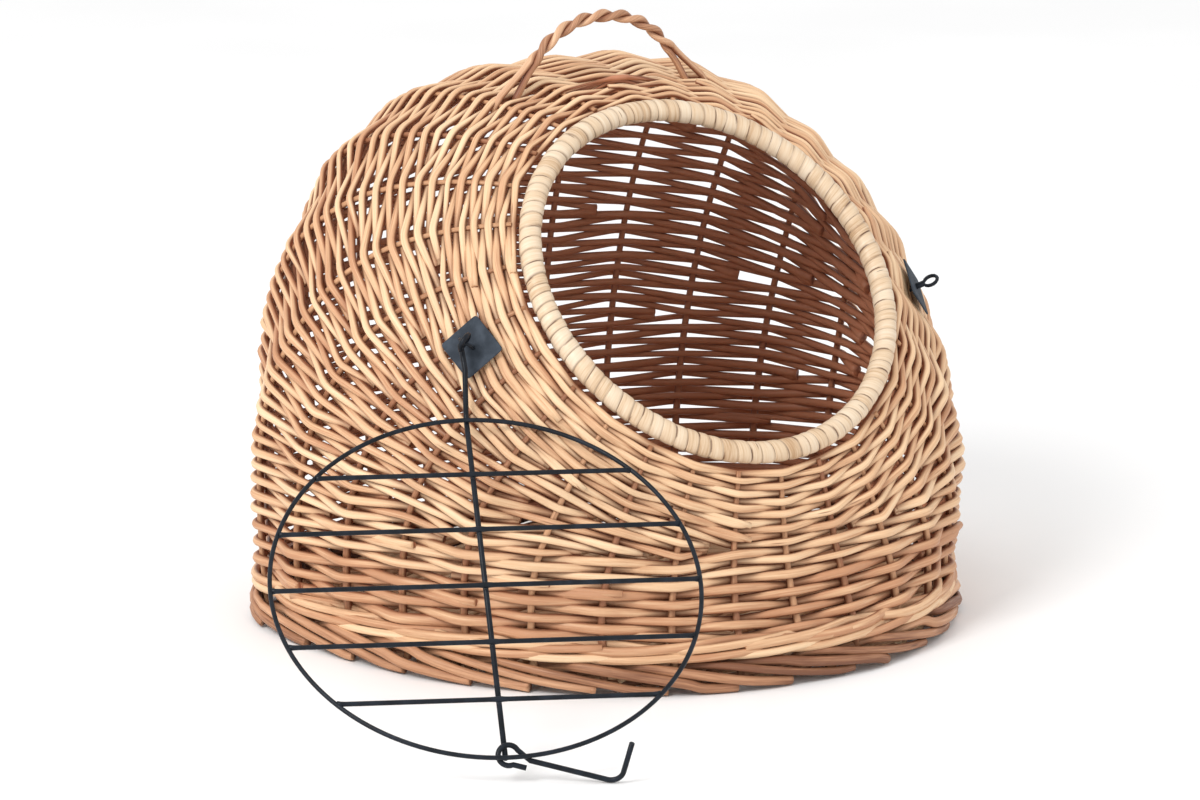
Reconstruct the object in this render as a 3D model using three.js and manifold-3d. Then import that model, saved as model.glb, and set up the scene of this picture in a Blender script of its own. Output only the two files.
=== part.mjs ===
// Wicker pet carrier: a domed willow basket with a tilted round mouth, a wire
// door that hangs open from the eye at its left and a roped carrying handle.
// Millimetres, +Z up. The mouth faces -Y, +X is to the right of someone who
// looks into it, and the origin is the middle of the floor's underside.
import * as THREE from 'three';
import { mergeVertices } from 'three/addons/utils/BufferGeometryUtils.js';
import Module from 'manifold-3d';

const wasm = await Module();
wasm.setup();

// Running gap between pieces that touch.
const GAP = 0.3;

// Outer skin of the basket: a blunt oval plan under a dome.
const HALF_WIDTH = 247;
const FRONT_REACH = 300;
const BACK_REACH = 130;
const DOME_HEIGHT = 372;
const PLAN_POWER = 2.12;
const DOME_POWER = 2.87;
const FOOT_TUCK = 0.031;
const TUCK_HEIGHT = 150;
const BACK_LEAN = 0.035;

// Round mouth, on a plane that leans back.
const MOUTH_TILT = THREE.MathUtils.degToRad(39.85);
const MOUTH_Y = -89.4;
const MOUTH_Z = 250.3;
const HOOP_RADIUS = 131;
const HOOP_ROD_RADIUS = 4.5;
const SKEIN_THICKNESS = 2.7;
const SKEIN_SLIT = THREE.MathUtils.degToRad(30);
const DRAW_IN_BASE = 60;
const DRAW_IN_SHARE = 2;

// Woven wall and the willow inside it.
const WEAVE_THICKNESS = 6;
const STAKE_COUNT = 28;
const STAKE_RADIUS = 3.2;
const STAKE_SIDES = 6;
const STAKE_END_GAP = 8.5;

// Foot: rolled border, waling above it, floor inside it.
const BORDER_HEIGHT = 17;
const BORDER_OUT = 6;
const BORDER_IN = 12;
const WALE_HEIGHT = 11;
const WALE_OUT = 2;
const WALE_IN = 7;
const FLOOR_THICKNESS = 10;
const FLOOR_STICKS = 6;
const FLOOR_STICK_RADIUS = 3.5;
const FLOOR_STICK_PITCH = 62;
const FLOOR_STICK_INSET = 14;

// Handle: two willow strands laid round each other, each with its own feet.
const HANDLE_Y = 47;
const HANDLE_HALF_SPAN = 73;
const HANDLE_RISE = 45.4;
const HANDLE_TURNS = 6;
const STRAND_RADIUS = 2.5;
const LAY_RADIUS = 2.75;
const FOOT_SPREAD = 8;
const STRAND_STEPS = 64;

// Plates and split pins on the wall beside the mouth.
const PLATE_SIDE = 31;
const PLATE_THICKNESS = 1.2;
const PLATE_DROP = 12.8;
const PLATE_SETBACK = 28.8;
const PLATE_ROLL = THREE.MathUtils.degToRad(-16);
const PIN_WIRE_RADIUS = 1.3;
const PIN_EYE_RADIUS = 5;
const PIN_STANDOFF = 12;
const PIN_LEG_LENGTH = 26;
const PIN_LEG_CLEARANCE = 2.4;

// Wire door, in its own frame: X runs from the hinge loop to the latch, Y along
// the cross bars, and Z to the side that faces the cabin when it is shut.
const RING_WIRE_RADIUS = 1.45;
const SPINE_WIRE_RADIUS = 1.75;
const DOOR_RADIUS = 138;
const BAR_COUNT = 5;
const BAR_WIRE_RADIUS = 1.55;
const NECK_RUN = 43.5;
const NECK_RISE = 27.7;
const NECK_LEAD = 4;
const NECK_BEND_RADIUS = 12;
const LOOP_RADIUS = 5.5;
const DOOR_SPINE_DIRECTION = new THREE.Vector3(-0.3373, -0.7324, -0.5915).normalize();
const DOOR_BAR_DIRECTION = new THREE.Vector3(0.9093, -0.4159, -0.0025).normalize();

// Latch hook: its loop is threaded between the spine's end and the ring.
const HOOK_WIRE_RADIUS = 1.7;
const HOOK_LOOP_RADIUS = 6.6;
const HOOK_LOOP_SLOPE = THREE.MathUtils.degToRad(25);
const HOOK_LOOP_INSET = 3.4;
const HOOK_LOOP_ASIDE = 2;
const HOOK_LOOP_NECK = 14;
const HOOK_SHANK = 72;
const HOOK_TIP = 31;
const HOOK_BEND_RADIUS = 8.5;
const HOOK_TAIL = 8.5;
const HOOK_REST_TURN = THREE.MathUtils.degToRad(74);
const HOOK_TIP_LEAN = THREE.MathUtils.degToRad(42);

// Facets.
const RING_STEPS = 56;
const SKIN_STEPS = 10;
const WIRE_SIDES = 6;
const SOLVE_STEPS = 44;

const OUT_OF_MOUTH = new THREE.Vector3(0, -Math.cos(MOUTH_TILT), Math.sin(MOUTH_TILT));
const UP_THE_MOUTH = new THREE.Vector3(0, Math.sin(MOUTH_TILT), Math.cos(MOUTH_TILT));
const ACROSS = new THREE.Vector3(1, 0, 0);
const MOUTH_CENTRE = new THREE.Vector3(0, MOUTH_Y, MOUTH_Z);
const RIM_TUBE_RADIUS = HOOP_ROD_RADIUS + GAP + SKEIN_THICKNESS;
const SKIN_AT_MOUTH = HOOP_RADIUS + RIM_TUBE_RADIUS + GAP + WEAVE_THICKNESS;
const STATION_Y = (FRONT_REACH - BACK_REACH) / 2 * (1 - FOOT_TUCK);
const WALE_BOTTOM = BORDER_HEIGHT + GAP;
const SIDING_BOTTOM = WALE_BOTTOM + WALE_HEIGHT + GAP;
const STAKE_DEPTH = WEAVE_THICKNESS + GAP + STAKE_RADIUS;

const WILLOW = { color: 0xdfb58a, roughness: 0.62, metalness: 0 };
const DARK_WILLOW = { color: 0xb98a63, roughness: 0.7, metalness: 0 };
const SKEIN = { color: 0xe8cfa2, roughness: 0.5, metalness: 0 };
const COATED_STEEL = { color: 0x2b3138, roughness: 0.42, metalness: 0.55 };

const carrier = new THREE.Group();

// Turns a geometry into one closed solid with merged corners, facing out.
function closedGeometry(geometry) {
  const bare = geometry.clone();
  bare.deleteAttribute('normal');
  bare.deleteAttribute('uv');
  const merged = mergeVertices(bare, 1e-4);
  const position = merged.getAttribute('position');
  const kept = [];
  let volume = 0;
  const a = new THREE.Vector3();
  const b = new THREE.Vector3();
  const c = new THREE.Vector3();
  for (let i = 0; i < merged.index.count; i += 3) {
    const corner = [merged.index.getX(i), merged.index.getX(i + 1), merged.index.getX(i + 2)];
    if (corner[0] === corner[1] || corner[1] === corner[2] || corner[0] === corner[2]) {
      continue;
    }
    kept.push(...corner);
    a.fromBufferAttribute(position, corner[0]);
    b.fromBufferAttribute(position, corner[1]);
    c.fromBufferAttribute(position, corner[2]);
    volume += a.dot(b.cross(c));
  }
  merged.setIndex(volume < 0 ? kept.reverse() : kept);
  return merged;
}

function toManifold(geometry) {
  return new wasm.Manifold(new wasm.Mesh({
    numProp: 3,
    vertProperties: new Float32Array(geometry.getAttribute('position').array),
    triVerts: new Uint32Array(geometry.index.array),
  }));
}

// Cuts each tool out of the body and gives the result back as a geometry.
function cut(geometry, tools) {
  let solid = toManifold(geometry);
  for (const tool of tools) {
    solid = solid.subtract(toManifold(tool));
  }
  const mesh = solid.getMesh();
  const result = new THREE.BufferGeometry();
  result.setAttribute('position', new THREE.BufferAttribute(mesh.vertProperties, 3));
  result.setIndex(new THREE.BufferAttribute(mesh.triVerts, 1));
  return result;
}

function addPiece(name, geometry, look, parent = carrier) {
  const mesh = new THREE.Mesh(geometry, new THREE.MeshStandardMaterial(look));
  mesh.name = name;
  parent.add(mesh);
  return mesh;
}

// Joins closed sections, one after the other and last to first, into a ring.
function ringSolid(sections) {
  const size = sections[0].length;
  const index = [];
  for (let i = 0; i < sections.length; i += 1) {
    const next = (i + 1) % sections.length;
    for (let j = 0; j < size; j += 1) {
      const k = (j + 1) % size;
      index.push(i * size + j, next * size + j, next * size + k);
      index.push(i * size + j, next * size + k, i * size + k);
    }
  }
  const geometry = new THREE.BufferGeometry().setFromPoints(sections.flat());
  geometry.setIndex(index);
  return closedGeometry(geometry);
}

// A path whose sections stand exactly at its own points.
class BentPath extends THREE.Curve {
  constructor(points) {
    super();
    this.points = points;
  }

  getPoint(t) {
    const place = t * (this.points.length - 1);
    const low = Math.min(Math.floor(place), this.points.length - 2);
    return this.points[low].clone().lerp(this.points[low + 1], place - low);
  }

  getPointAt(u) {
    return this.getPoint(u);
  }

  getTangentAt(u) {
    const reach = 0.5 / (this.points.length - 1);
    const before = this.getPoint(Math.max(u - reach, 0));
    return this.getPoint(Math.min(u + reach, 1)).sub(before).normalize();
  }
}

// A round rod bent along a list of points.
function rod(points, radius, sides = WIRE_SIDES) {
  const corners = Array.from({ length: sides }, (unused, i) => {
    const angle = 2 * Math.PI * i / sides;
    return new THREE.Vector2(radius * Math.cos(angle), radius * Math.sin(angle));
  });
  return closedGeometry(new THREE.ExtrudeGeometry(new THREE.Shape(corners), {
    steps: points.length - 1,
    bevelEnabled: false,
    extrudePath: new BentPath(points),
  }));
}

// Points of a polyline whose corners are rounded by arcs of a given radius.
function roundedPath(corners, bend, steps = 4) {
  const points = [corners[0].clone()];
  for (let i = 1; i < corners.length - 1; i += 1) {
    const back = corners[i - 1].clone().sub(corners[i]).normalize();
    const ahead = corners[i + 1].clone().sub(corners[i]).normalize();
    const half = back.angleTo(ahead) / 2;
    const centre = back.clone().add(ahead).normalize().multiplyScalar(bend / Math.sin(half));
    const start = back.multiplyScalar(bend / Math.tan(half)).sub(centre);
    const end = ahead.multiplyScalar(bend / Math.tan(half)).sub(centre);
    const sweep = start.angleTo(end);
    for (let j = 0; j <= steps; j += 1) {
      const share = sweep * j / steps;
      const spoke = start.clone().multiplyScalar(Math.sin(sweep - share) / Math.sin(sweep));
      spoke.add(end.clone().multiplyScalar(Math.sin(share) / Math.sin(sweep)));
      points.push(corners[i].clone().add(centre).add(spoke));
    }
  }
  points.push(corners[corners.length - 1].clone());
  return points;
}

// Below 1 inside the outer skin of the dome, above 1 outside it.
function domeMeasure(point) {
  const height = Math.min(Math.max(point.z / DOME_HEIGHT, 0), 1);
  const dome = Math.pow(Math.max(1 - Math.pow(height, DOME_POWER), 1e-9), 1 / DOME_POWER);
  const tuck = 1 - FOOT_TUCK * Math.pow(Math.max(1 - point.z / TUCK_HEIGHT, 0), 2);
  const y = point.y - STATION_Y - BACK_LEAN * point.z;
  const reach = y < 0 ? FRONT_REACH : BACK_REACH;
  const plan = Math.pow(Math.abs(point.x) / HALF_WIDTH, PLAN_POWER)
    + Math.pow(Math.abs(y) / reach, PLAN_POWER);
  return Math.pow(plan, 1 / PLAN_POWER) / (dome * tuck);
}

// Distance from a centre to the dome along a direction.
function domeReach(centre, direction) {
  let low = 0;
  let high = 2 * (HALF_WIDTH + FRONT_REACH);
  const probe = new THREE.Vector3();
  for (let i = 0; i < SOLVE_STEPS; i += 1) {
    const middle = (low + high) / 2;
    probe.copy(centre).addScaledVector(direction, middle);
    if (domeMeasure(probe) < 1) {
      low = middle;
    } else {
      high = middle;
    }
  }
  return low;
}

// The wall is swept by a plane that turns about a line in front of the basket,
// from the top of the waling, climb 0, to the plane of the mouth, climb 1.
const SWEEP_LINE = new THREE.Vector3(
  0,
  MOUTH_Y - (MOUTH_Z - SIDING_BOTTOM) * Math.tan(MOUTH_TILT),
  SIDING_BOTTOM,
);
const SWEEP_ANGLE = Math.PI / 2 - MOUTH_TILT;
const SWEEP_START = -SWEEP_LINE.y;
const SWEEP_END = MOUTH_CENTRE.distanceTo(SWEEP_LINE);

function skinPoint(turn, climb) {
  const angle = SWEEP_ANGLE * climb;
  const inward = new THREE.Vector3(0, Math.cos(angle), Math.sin(angle));
  const middle = THREE.MathUtils.lerp(SWEEP_START, SWEEP_END, climb);
  const centre = SWEEP_LINE.clone().addScaledVector(inward, middle);
  const spoke = new THREE.Vector3(Math.cos(turn), 0, 0).addScaledVector(inward, Math.sin(turn));
  const mouthSpoke = ACROSS.clone().multiplyScalar(Math.cos(turn));
  mouthSpoke.addScaledVector(UP_THE_MOUTH, Math.sin(turn));
  const excess = domeReach(MOUTH_CENTRE, mouthSpoke) - SKIN_AT_MOUTH;
  const reach = domeReach(centre, spoke);
  const fromLine = middle + reach * Math.sin(turn);
  const behind = fromLine * Math.sin(SWEEP_ANGLE - angle);
  const length = DRAW_IN_BASE + DRAW_IN_SHARE * Math.abs(excess);
  const seated = climb * (2 - climb);
  const draw = seated * excess * Math.pow(Math.max(1 - behind / length, 0), 2);
  return centre.addScaledVector(spoke, reach - draw);
}

// Whether a point lies inside the skin, measured in its own sweep plane.
function insideSkin(point) {
  const fromLine = point.clone().sub(SWEEP_LINE);
  const climb = Math.atan2(fromLine.z, fromLine.y) / SWEEP_ANGLE;
  const middle = THREE.MathUtils.lerp(SWEEP_START, SWEEP_END, climb);
  const along = Math.hypot(fromLine.y, fromLine.z) - middle;
  const skin = skinPoint(Math.atan2(along, point.x), climb).sub(SWEEP_LINE);
  const skinAlong = Math.hypot(skin.y, skin.z) - middle;
  return Math.hypot(point.x, along) < Math.hypot(skin.x, skinAlong);
}

function skinNormal(turn, climb) {
  const small = 0.01;
  const low = Math.max(climb - small, 0);
  const high = Math.min(climb + small, 1);
  const around = skinPoint(turn + small, climb).sub(skinPoint(turn - small, climb));
  const up = skinPoint(turn, high).sub(skinPoint(turn, low));
  return around.cross(up).normalize();
}

function insidePoint(turn, climb, depth) {
  return skinPoint(turn, climb).addScaledVector(skinNormal(turn, climb), -depth);
}

// A point on the upright foot of the wall, moved out from the skin.
function footPoint(turn, height, out) {
  const centre = new THREE.Vector3(0, 0, height);
  const spoke = new THREE.Vector3(Math.cos(turn), Math.sin(turn), 0);
  return centre.addScaledVector(spoke, domeReach(centre, spoke) + out);
}

function turnAt(step, count) {
  return -Math.PI / 2 + 2 * Math.PI * step / count;
}

function footRing(profile) {
  return ringSolid(Array.from({ length: RING_STEPS }, (unused, i) => (
    profile.map(([out, height]) => footPoint(turnAt(i, RING_STEPS), height, out))
  )));
}

// Foot border: thick rods rolled round each other, flat where they stand.
function buildBorder() {
  const chamfer = BORDER_HEIGHT * 0.3;
  const profile = [
    [BORDER_OUT - chamfer, 0],
    [BORDER_OUT, chamfer],
    [BORDER_OUT, BORDER_HEIGHT - chamfer],
    [BORDER_OUT - chamfer, BORDER_HEIGHT],
    [-BORDER_IN, BORDER_HEIGHT],
    [-BORDER_IN, 0],
  ];
  addPiece('foot_border', footRing(profile), DARK_WILLOW);
}

function buildWale() {
  const bulge = WALE_OUT / 2;
  const profile = [
    [0, WALE_BOTTOM],
    [bulge, WALE_BOTTOM + WALE_HEIGHT * 0.2],
    [WALE_OUT, WALE_BOTTOM + WALE_HEIGHT / 2],
    [bulge, WALE_BOTTOM + WALE_HEIGHT * 0.8],
    [0, WALE_BOTTOM + WALE_HEIGHT],
    [-WALE_IN, WALE_BOTTOM + WALE_HEIGHT],
    [-WALE_IN, WALE_BOTTOM],
  ];
  addPiece('bottom_wale', footRing(profile), WILLOW);
}

function buildFloor() {
  const inset = -BORDER_IN - GAP;
  const outline = Array.from({ length: RING_STEPS }, (unused, i) => {
    const point = footPoint(turnAt(i, RING_STEPS), 0, inset);
    return new THREE.Vector2(point.x, point.y);
  });
  const floor = new THREE.ExtrudeGeometry(new THREE.Shape(outline), {
    depth: FLOOR_THICKNESS,
    bevelEnabled: false,
  });
  addPiece('floor_weave', closedGeometry(floor), WILLOW);
  for (let i = 0; i < FLOOR_STICKS; i += 1) {
    const x = (i - (FLOOR_STICKS - 1) / 2) * FLOOR_STICK_PITCH;
    const middle = new THREE.Vector3(x, 0, 0);
    const front = domeReach(middle, new THREE.Vector3(0, -1, 0)) - BORDER_IN - FLOOR_STICK_INSET;
    const back = domeReach(middle, new THREE.Vector3(0, 1, 0)) - BORDER_IN - FLOOR_STICK_INSET;
    const height = FLOOR_THICKNESS + GAP + FLOOR_STICK_RADIUS;
    const ends = [new THREE.Vector3(x, -front, height), new THREE.Vector3(x, back, height)];
    addPiece(`floor_stick_${i + 1}`, rod(ends, FLOOR_STICK_RADIUS), DARK_WILLOW);
  }
}

// Willow uprights, from the waling up and over to the mouth.
function stakeTopClimb(turn) {
  const top = skinPoint(turn, 1);
  const fromLine = top.sub(SWEEP_LINE).dot(UP_THE_MOUTH);
  return 1 - Math.asin(STAKE_END_GAP / fromLine) / SWEEP_ANGLE;
}

// Stakes bend where the wall's facets do, so that they lie along it. A bend that is
// nearer to an end than the stake is thick is left out.
function stakePath(turn) {
  const top = stakeTopClimb(turn) * SKIN_STEPS;
  const last = Math.ceil(top) - 1;
  const bends = [];
  for (let j = 0; j <= last + 1; j += 1) {
    bends.push(insidePoint(turn, j / SKIN_STEPS, STAKE_DEPTH));
  }
  const rise = SIDING_BOTTOM + STAKE_RADIUS - bends[0].z;
  const start = bends[0].clone().lerp(bends[1], rise / (bends[1].z - bends[0].z));
  const end = bends[last].clone().lerp(bends[last + 1], top - last);
  const between = bends.slice(1, last + 1).filter((bend) => (
    Math.min(bend.distanceTo(start), bend.distanceTo(end)) > 2 * STAKE_RADIUS
  ));
  return [start, ...between, end];
}

function buildStakes() {
  for (let i = 0; i < STAKE_COUNT; i += 1) {
    const name = `stake_${String(i + 1).padStart(2, '0')}`;
    const path = stakePath(turnAt(i, STAKE_COUNT));
    addPiece(name, rod(path, STAKE_RADIUS, STAKE_SIDES), DARK_WILLOW);
  }
}

// Plates and pins: one set at each side, the right one a mirror of the left.
const PLATE_HEIGHT_POINT = MOUTH_CENTRE.clone()
  .addScaledVector(UP_THE_MOUTH, -PLATE_DROP)
  .addScaledVector(OUT_OF_MOUTH, -PLATE_SETBACK);

// The turn and climb of the wall point beside the mouth that carries a plate.
function plateStation() {
  const fromLine = PLATE_HEIGHT_POINT.clone().sub(SWEEP_LINE);
  const climb = Math.atan2(fromLine.z, fromLine.y) / SWEEP_ANGLE;
  const target = Math.hypot(fromLine.y, fromLine.z);
  let low = -Math.PI / 2;
  let high = 0;
  for (let i = 0; i < SOLVE_STEPS; i += 1) {
    const turn = (low + high) / 2;
    const point = skinPoint(turn, climb);
    const along = Math.hypot(point.y - SWEEP_LINE.y, point.z - SWEEP_LINE.z);
    if (along < target) {
      low = turn;
    } else {
      high = turn;
    }
  }
  return { turn: low, climb };
}

const STATION = plateStation();
const RIGHT_PLATE_POINT = skinPoint(STATION.turn, STATION.climb);
const RIGHT_PLATE_NORMAL = skinNormal(STATION.turn, STATION.climb);

function mirrored(vector, side) {
  return new THREE.Vector3(vector.x * side, vector.y, vector.z);
}

// Where the door hangs: the outermost wire of the left pin's eye.
const HINGE_POINT = mirrored(RIGHT_PLATE_POINT, -1)
  .addScaledVector(mirrored(RIGHT_PLATE_NORMAL, -1), PIN_STANDOFF + PIN_EYE_RADIUS);

// The open door's frame, and the shut one's, with its face to the cabin.
const DOOR_Z = DOOR_SPINE_DIRECTION.clone().cross(DOOR_BAR_DIRECTION).normalize();
const DOOR_Y = DOOR_Z.clone().cross(DOOR_SPINE_DIRECTION).normalize();
const OPEN_FRAME = new THREE.Matrix4().makeBasis(DOOR_SPINE_DIRECTION, DOOR_Y, DOOR_Z);
const SHUT_FRAME = new THREE.Matrix4().makeBasis(
  ACROSS,
  UP_THE_MOUTH.clone().negate(),
  OUT_OF_MOUTH.clone().negate(),
);

// One turn about this axis takes the door from hanging open to shut.
function swingAxis() {
  const turn = SHUT_FRAME.clone().multiply(OPEN_FRAME.clone().transpose());
  const half = new THREE.Quaternion().setFromRotationMatrix(turn);
  return new THREE.Vector3(half.x, half.y, half.z).normalize();
}

const SWING_AXIS = swingAxis();

// Frame of a pin: it stands square to its plate, and its eye lies as near to the
// plane of the swing axis as that allows.
function pinFrame(side) {
  const out = mirrored(RIGHT_PLATE_NORMAL, side);
  const axis = mirrored(SWING_AXIS, -side);
  axis.addScaledVector(out, -axis.dot(out)).normalize();
  const plate = mirrored(RIGHT_PLATE_POINT, side);
  const top = mirrored(HINGE_POINT, -side);
  return { axis, out, plate, top };
}

// One split pin: leg, eye and leg in one piece of wire, its ends spread inside.
function pinGeometry(side) {
  const { axis, out, top } = pinFrame(side);
  const centre = top.clone().addScaledVector(out, -PIN_EYE_RADIUS);
  const legOffset = PIN_WIRE_RADIUS + GAP / 2;
  const innerDepth = STAKE_DEPTH + STAKE_RADIUS + PIN_LEG_CLEARANCE + PIN_WIRE_RADIUS;
  const eye = [];
  const open = Math.asin(legOffset / PIN_EYE_RADIUS);
  const eyeSteps = 14;
  for (let i = 0; i <= eyeSteps; i += 1) {
    const angle = Math.PI + open + (2 * Math.PI - 2 * open) * i / eyeSteps;
    const point = centre.clone().addScaledVector(out, PIN_EYE_RADIUS * Math.cos(angle));
    eye.push(point.addScaledVector(axis, PIN_EYE_RADIUS * Math.sin(angle)));
  }
  const leg = (way) => {
    const direction = side > 0 ? STATION.turn : Math.PI - STATION.turn;
    const reach = skinPoint(STATION.turn, STATION.climb).sub(PLATE_HEIGHT_POINT).length();
    return [0.25, 0.6, 1].map((share) => {
      const turn = direction + way * share * PIN_LEG_LENGTH / reach;
      return insidePoint(turn, STATION.climb, innerDepth);
    });
  };
  const root = (way) => {
    const plateInside = insidePoint(
      side > 0 ? STATION.turn : Math.PI - STATION.turn,
      STATION.climb,
      innerDepth - 2 * PIN_WIRE_RADIUS,
    );
    const along = plateInside.clone().sub(top).dot(out);
    const foot = top.clone().addScaledVector(out, along);
    return foot.addScaledVector(axis, way * legOffset);
  };
  const firstSide = Math.sign(eye[0].clone().sub(centre).dot(axis));
  const firstWay = leg(1)[2].sub(top).dot(axis) * firstSide > 0 ? 1 : -1;
  return rod([
    ...leg(firstWay).reverse(),
    root(firstSide),
    ...eye,
    root(-firstSide),
    ...leg(-firstWay),
  ], PIN_WIRE_RADIUS);
}

// A round cutter along a direction, through a point.
function drill(point, direction, radius, length) {
  const cylinder = new THREE.CylinderGeometry(radius, radius, length, 10);
  const turn = new THREE.Quaternion();
  turn.setFromUnitVectors(new THREE.Vector3(0, 1, 0), direction.clone().normalize());
  cylinder.applyQuaternion(turn);
  cylinder.translate(point.x, point.y, point.z);
  return closedGeometry(cylinder);
}

const PIN_HOLE_RADIUS = 2 * PIN_WIRE_RADIUS + GAP / 2 + GAP;
const DRILL_LENGTH = 60;

function pinHole(side) {
  const { out, plate, top } = pinFrame(side);
  const along = plate.clone().sub(top).dot(out);
  const centre = top.clone().addScaledVector(out, along);
  return drill(centre, out, PIN_HOLE_RADIUS, DRILL_LENGTH);
}

function buildPlates() {
  for (const [name, side] of [['left', -1], ['right', 1]]) {
    const normal = mirrored(RIGHT_PLATE_NORMAL, side);
    const up = UP_THE_MOUTH.clone().addScaledVector(normal, -UP_THE_MOUTH.dot(normal)).normalize();
    up.applyAxisAngle(normal, side * PLATE_ROLL);
    const frame = new THREE.Matrix4().makeBasis(up.clone().cross(normal).negate(), up, normal);
    const centre = mirrored(RIGHT_PLATE_POINT, side)
      .addScaledVector(normal, GAP + PLATE_THICKNESS / 2);
    const plate = new THREE.BoxGeometry(PLATE_SIDE, PLATE_SIDE, PLATE_THICKNESS);
    plate.applyMatrix4(frame.setPosition(centre));
    addPiece(`${name}_plate`, cut(closedGeometry(plate), [pinHole(side)]), COATED_STEEL);
    addPiece(`${name}_eye_pin`, pinGeometry(side), COATED_STEEL);
  }
}

// Handle: a low arch over the top, drawn as a path for each strand.
function handleFoot(side, out) {
  const x = side * (HANDLE_HALF_SPAN + out);
  let low = SIDING_BOTTOM;
  let high = 2 * (SIDING_BOTTOM + DOME_HEIGHT);
  for (let i = 0; i < SOLVE_STEPS; i += 1) {
    const height = (low + high) / 2;
    if (insideSkin(new THREE.Vector3(x, HANDLE_Y, height))) {
      low = height;
    } else {
      high = height;
    }
  }
  return new THREE.Vector3(x, HANDLE_Y, low);
}

const FOOT_TILT = THREE.MathUtils.degToRad(32);

function footDirection(side) {
  return new THREE.Vector3(-side * Math.sin(FOOT_TILT), 0, Math.cos(FOOT_TILT));
}

function handleArch() {
  const crown = handleFoot(0, 0).z + HANDLE_RISE - LAY_RADIUS - STRAND_RADIUS;
  const crownPoint = new THREE.Vector3(0, HANDLE_Y, crown);
  const points = [];
  for (const side of [-1, 1]) {
    const foot = handleFoot(side, 0);
    const shoulder = foot.clone().lerp(crownPoint, 0.5);
    shoulder.z += (crown - foot.z) * 0.22;
    points.push(foot, shoulder);
  }
  return new THREE.CatmullRomCurve3([points[0], points[1], crownPoint, points[3], points[2]]);
}

function strandPath(strand) {
  const arch = handleArch();
  const points = [];
  const spreadShare = 0.14;
  for (let i = 0; i <= STRAND_STEPS; i += 1) {
    const share = i / STRAND_STEPS;
    const tangent = arch.getTangentAt(share);
    const inArch = new THREE.Vector3(-tangent.z, 0, tangent.x);
    const edge = Math.min(share, 1 - share) / spreadShare;
    const spread = Math.pow(Math.max(1 - edge, 0), 2);
    const laid = Math.min(Math.max((share - spreadShare) / (1 - 2 * spreadShare), 0), 1);
    const phase = 2 * Math.PI * HANDLE_TURNS * laid + Math.PI * strand;
    const side = share < 0.5 ? -1 : 1;
    const point = arch.getPointAt(share);
    point.addScaledVector(inArch, (1 - spread) * LAY_RADIUS * Math.cos(phase));
    point.y += (1 - spread) * LAY_RADIUS * Math.sin(phase);
    point.x += spread * side * FOOT_SPREAD * (strand === 0 ? 1 : -1);
    points.push(point);
  }
  return points;
}

function strandFoot(side, strand) {
  return handleFoot(side, FOOT_SPREAD * (strand === 0 ? 1 : -1));
}

function buildHandle() {
  for (const strand of [0, 1]) {
    const path = strandPath(strand);
    const rooted = [
      strandFoot(-1, strand).addScaledVector(footDirection(-1), -WEAVE_THICKNESS),
      strandFoot(-1, strand),
      ...path.slice(4, -4),
      strandFoot(1, strand),
      strandFoot(1, strand).addScaledVector(footDirection(1), -WEAVE_THICKNESS),
    ];
    addPiece(`handle_strand_${strand + 1}`, rod(rooted, STRAND_RADIUS, 5), WILLOW);
  }
}

function handleHoles() {
  const holes = [];
  for (const side of [-1, 1]) {
    for (const strand of [0, 1]) {
      const foot = strandFoot(side, strand);
      const radius = STRAND_RADIUS + 2 * GAP;
      holes.push(drill(foot, footDirection(side), radius, DRILL_LENGTH / 2));
    }
  }
  return holes;
}

// Woven wall: one shell from the waling to the mouth, pierced by the pins and
// by the handle's feet.
function buildSiding() {
  const sections = Array.from({ length: RING_STEPS }, (unused, i) => {
    const turn = turnAt(i, RING_STEPS);
    const outer = [];
    const inner = [];
    for (let j = 0; j <= SKIN_STEPS; j += 1) {
      const climb = j / SKIN_STEPS;
      outer.push(skinPoint(turn, climb));
      inner.unshift(insidePoint(turn, climb, WEAVE_THICKNESS));
    }
    const spoke = ACROSS.clone().multiplyScalar(Math.cos(turn));
    spoke.addScaledVector(UP_THE_MOUTH, Math.sin(turn));
    inner[0].copy(MOUTH_CENTRE).addScaledVector(spoke, SKIN_AT_MOUTH - WEAVE_THICKNESS);
    inner[SKIN_STEPS].setZ(SIDING_BOTTOM);
    return [...outer, ...inner];
  });
  const tools = [pinHole(-1), pinHole(1), ...handleHoles()];
  addPiece('woven_siding', cut(ringSolid(sections), tools), WILLOW);
}

// Rim: a bent hoop bound round with skein, open only along the wall behind it.
function buildRim() {
  const rim = new THREE.Group();
  const frame = new THREE.Matrix4().makeBasis(ACROSS, UP_THE_MOUTH, OUT_OF_MOUTH);
  rim.applyMatrix4(frame.setPosition(MOUTH_CENTRE));
  carrier.add(rim);
  const hoop = new THREE.TorusGeometry(HOOP_RADIUS, HOOP_ROD_RADIUS, WIRE_SIDES, RING_STEPS);
  addPiece('rim_hoop', closedGeometry(hoop), DARK_WILLOW, rim);
  const outerSteps = 10;
  const innerSteps = 6;
  const slitMiddle = -Math.PI / 2;
  const profile = [];
  const arc = (radius, steps, forward) => {
    for (let i = 0; i <= steps; i += 1) {
      const share = forward ? i / steps : 1 - i / steps;
      const angle = slitMiddle + SKEIN_SLIT + (2 * Math.PI - 2 * SKEIN_SLIT) * share;
      const x = HOOP_RADIUS + radius * Math.cos(angle);
      profile.push(new THREE.Vector2(x, radius * Math.sin(angle)));
    }
  };
  arc(RIM_TUBE_RADIUS, outerSteps, true);
  arc((HOOP_ROD_RADIUS + GAP) / Math.cos(Math.PI / innerSteps / 1.4), innerSteps, false);
  profile.push(profile[0].clone());
  const skein = new THREE.LatheGeometry(profile, RING_STEPS);
  skein.rotateX(Math.PI / 2);
  addPiece('rim_skein', closedGeometry(skein), SKEIN, rim);
}

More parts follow.
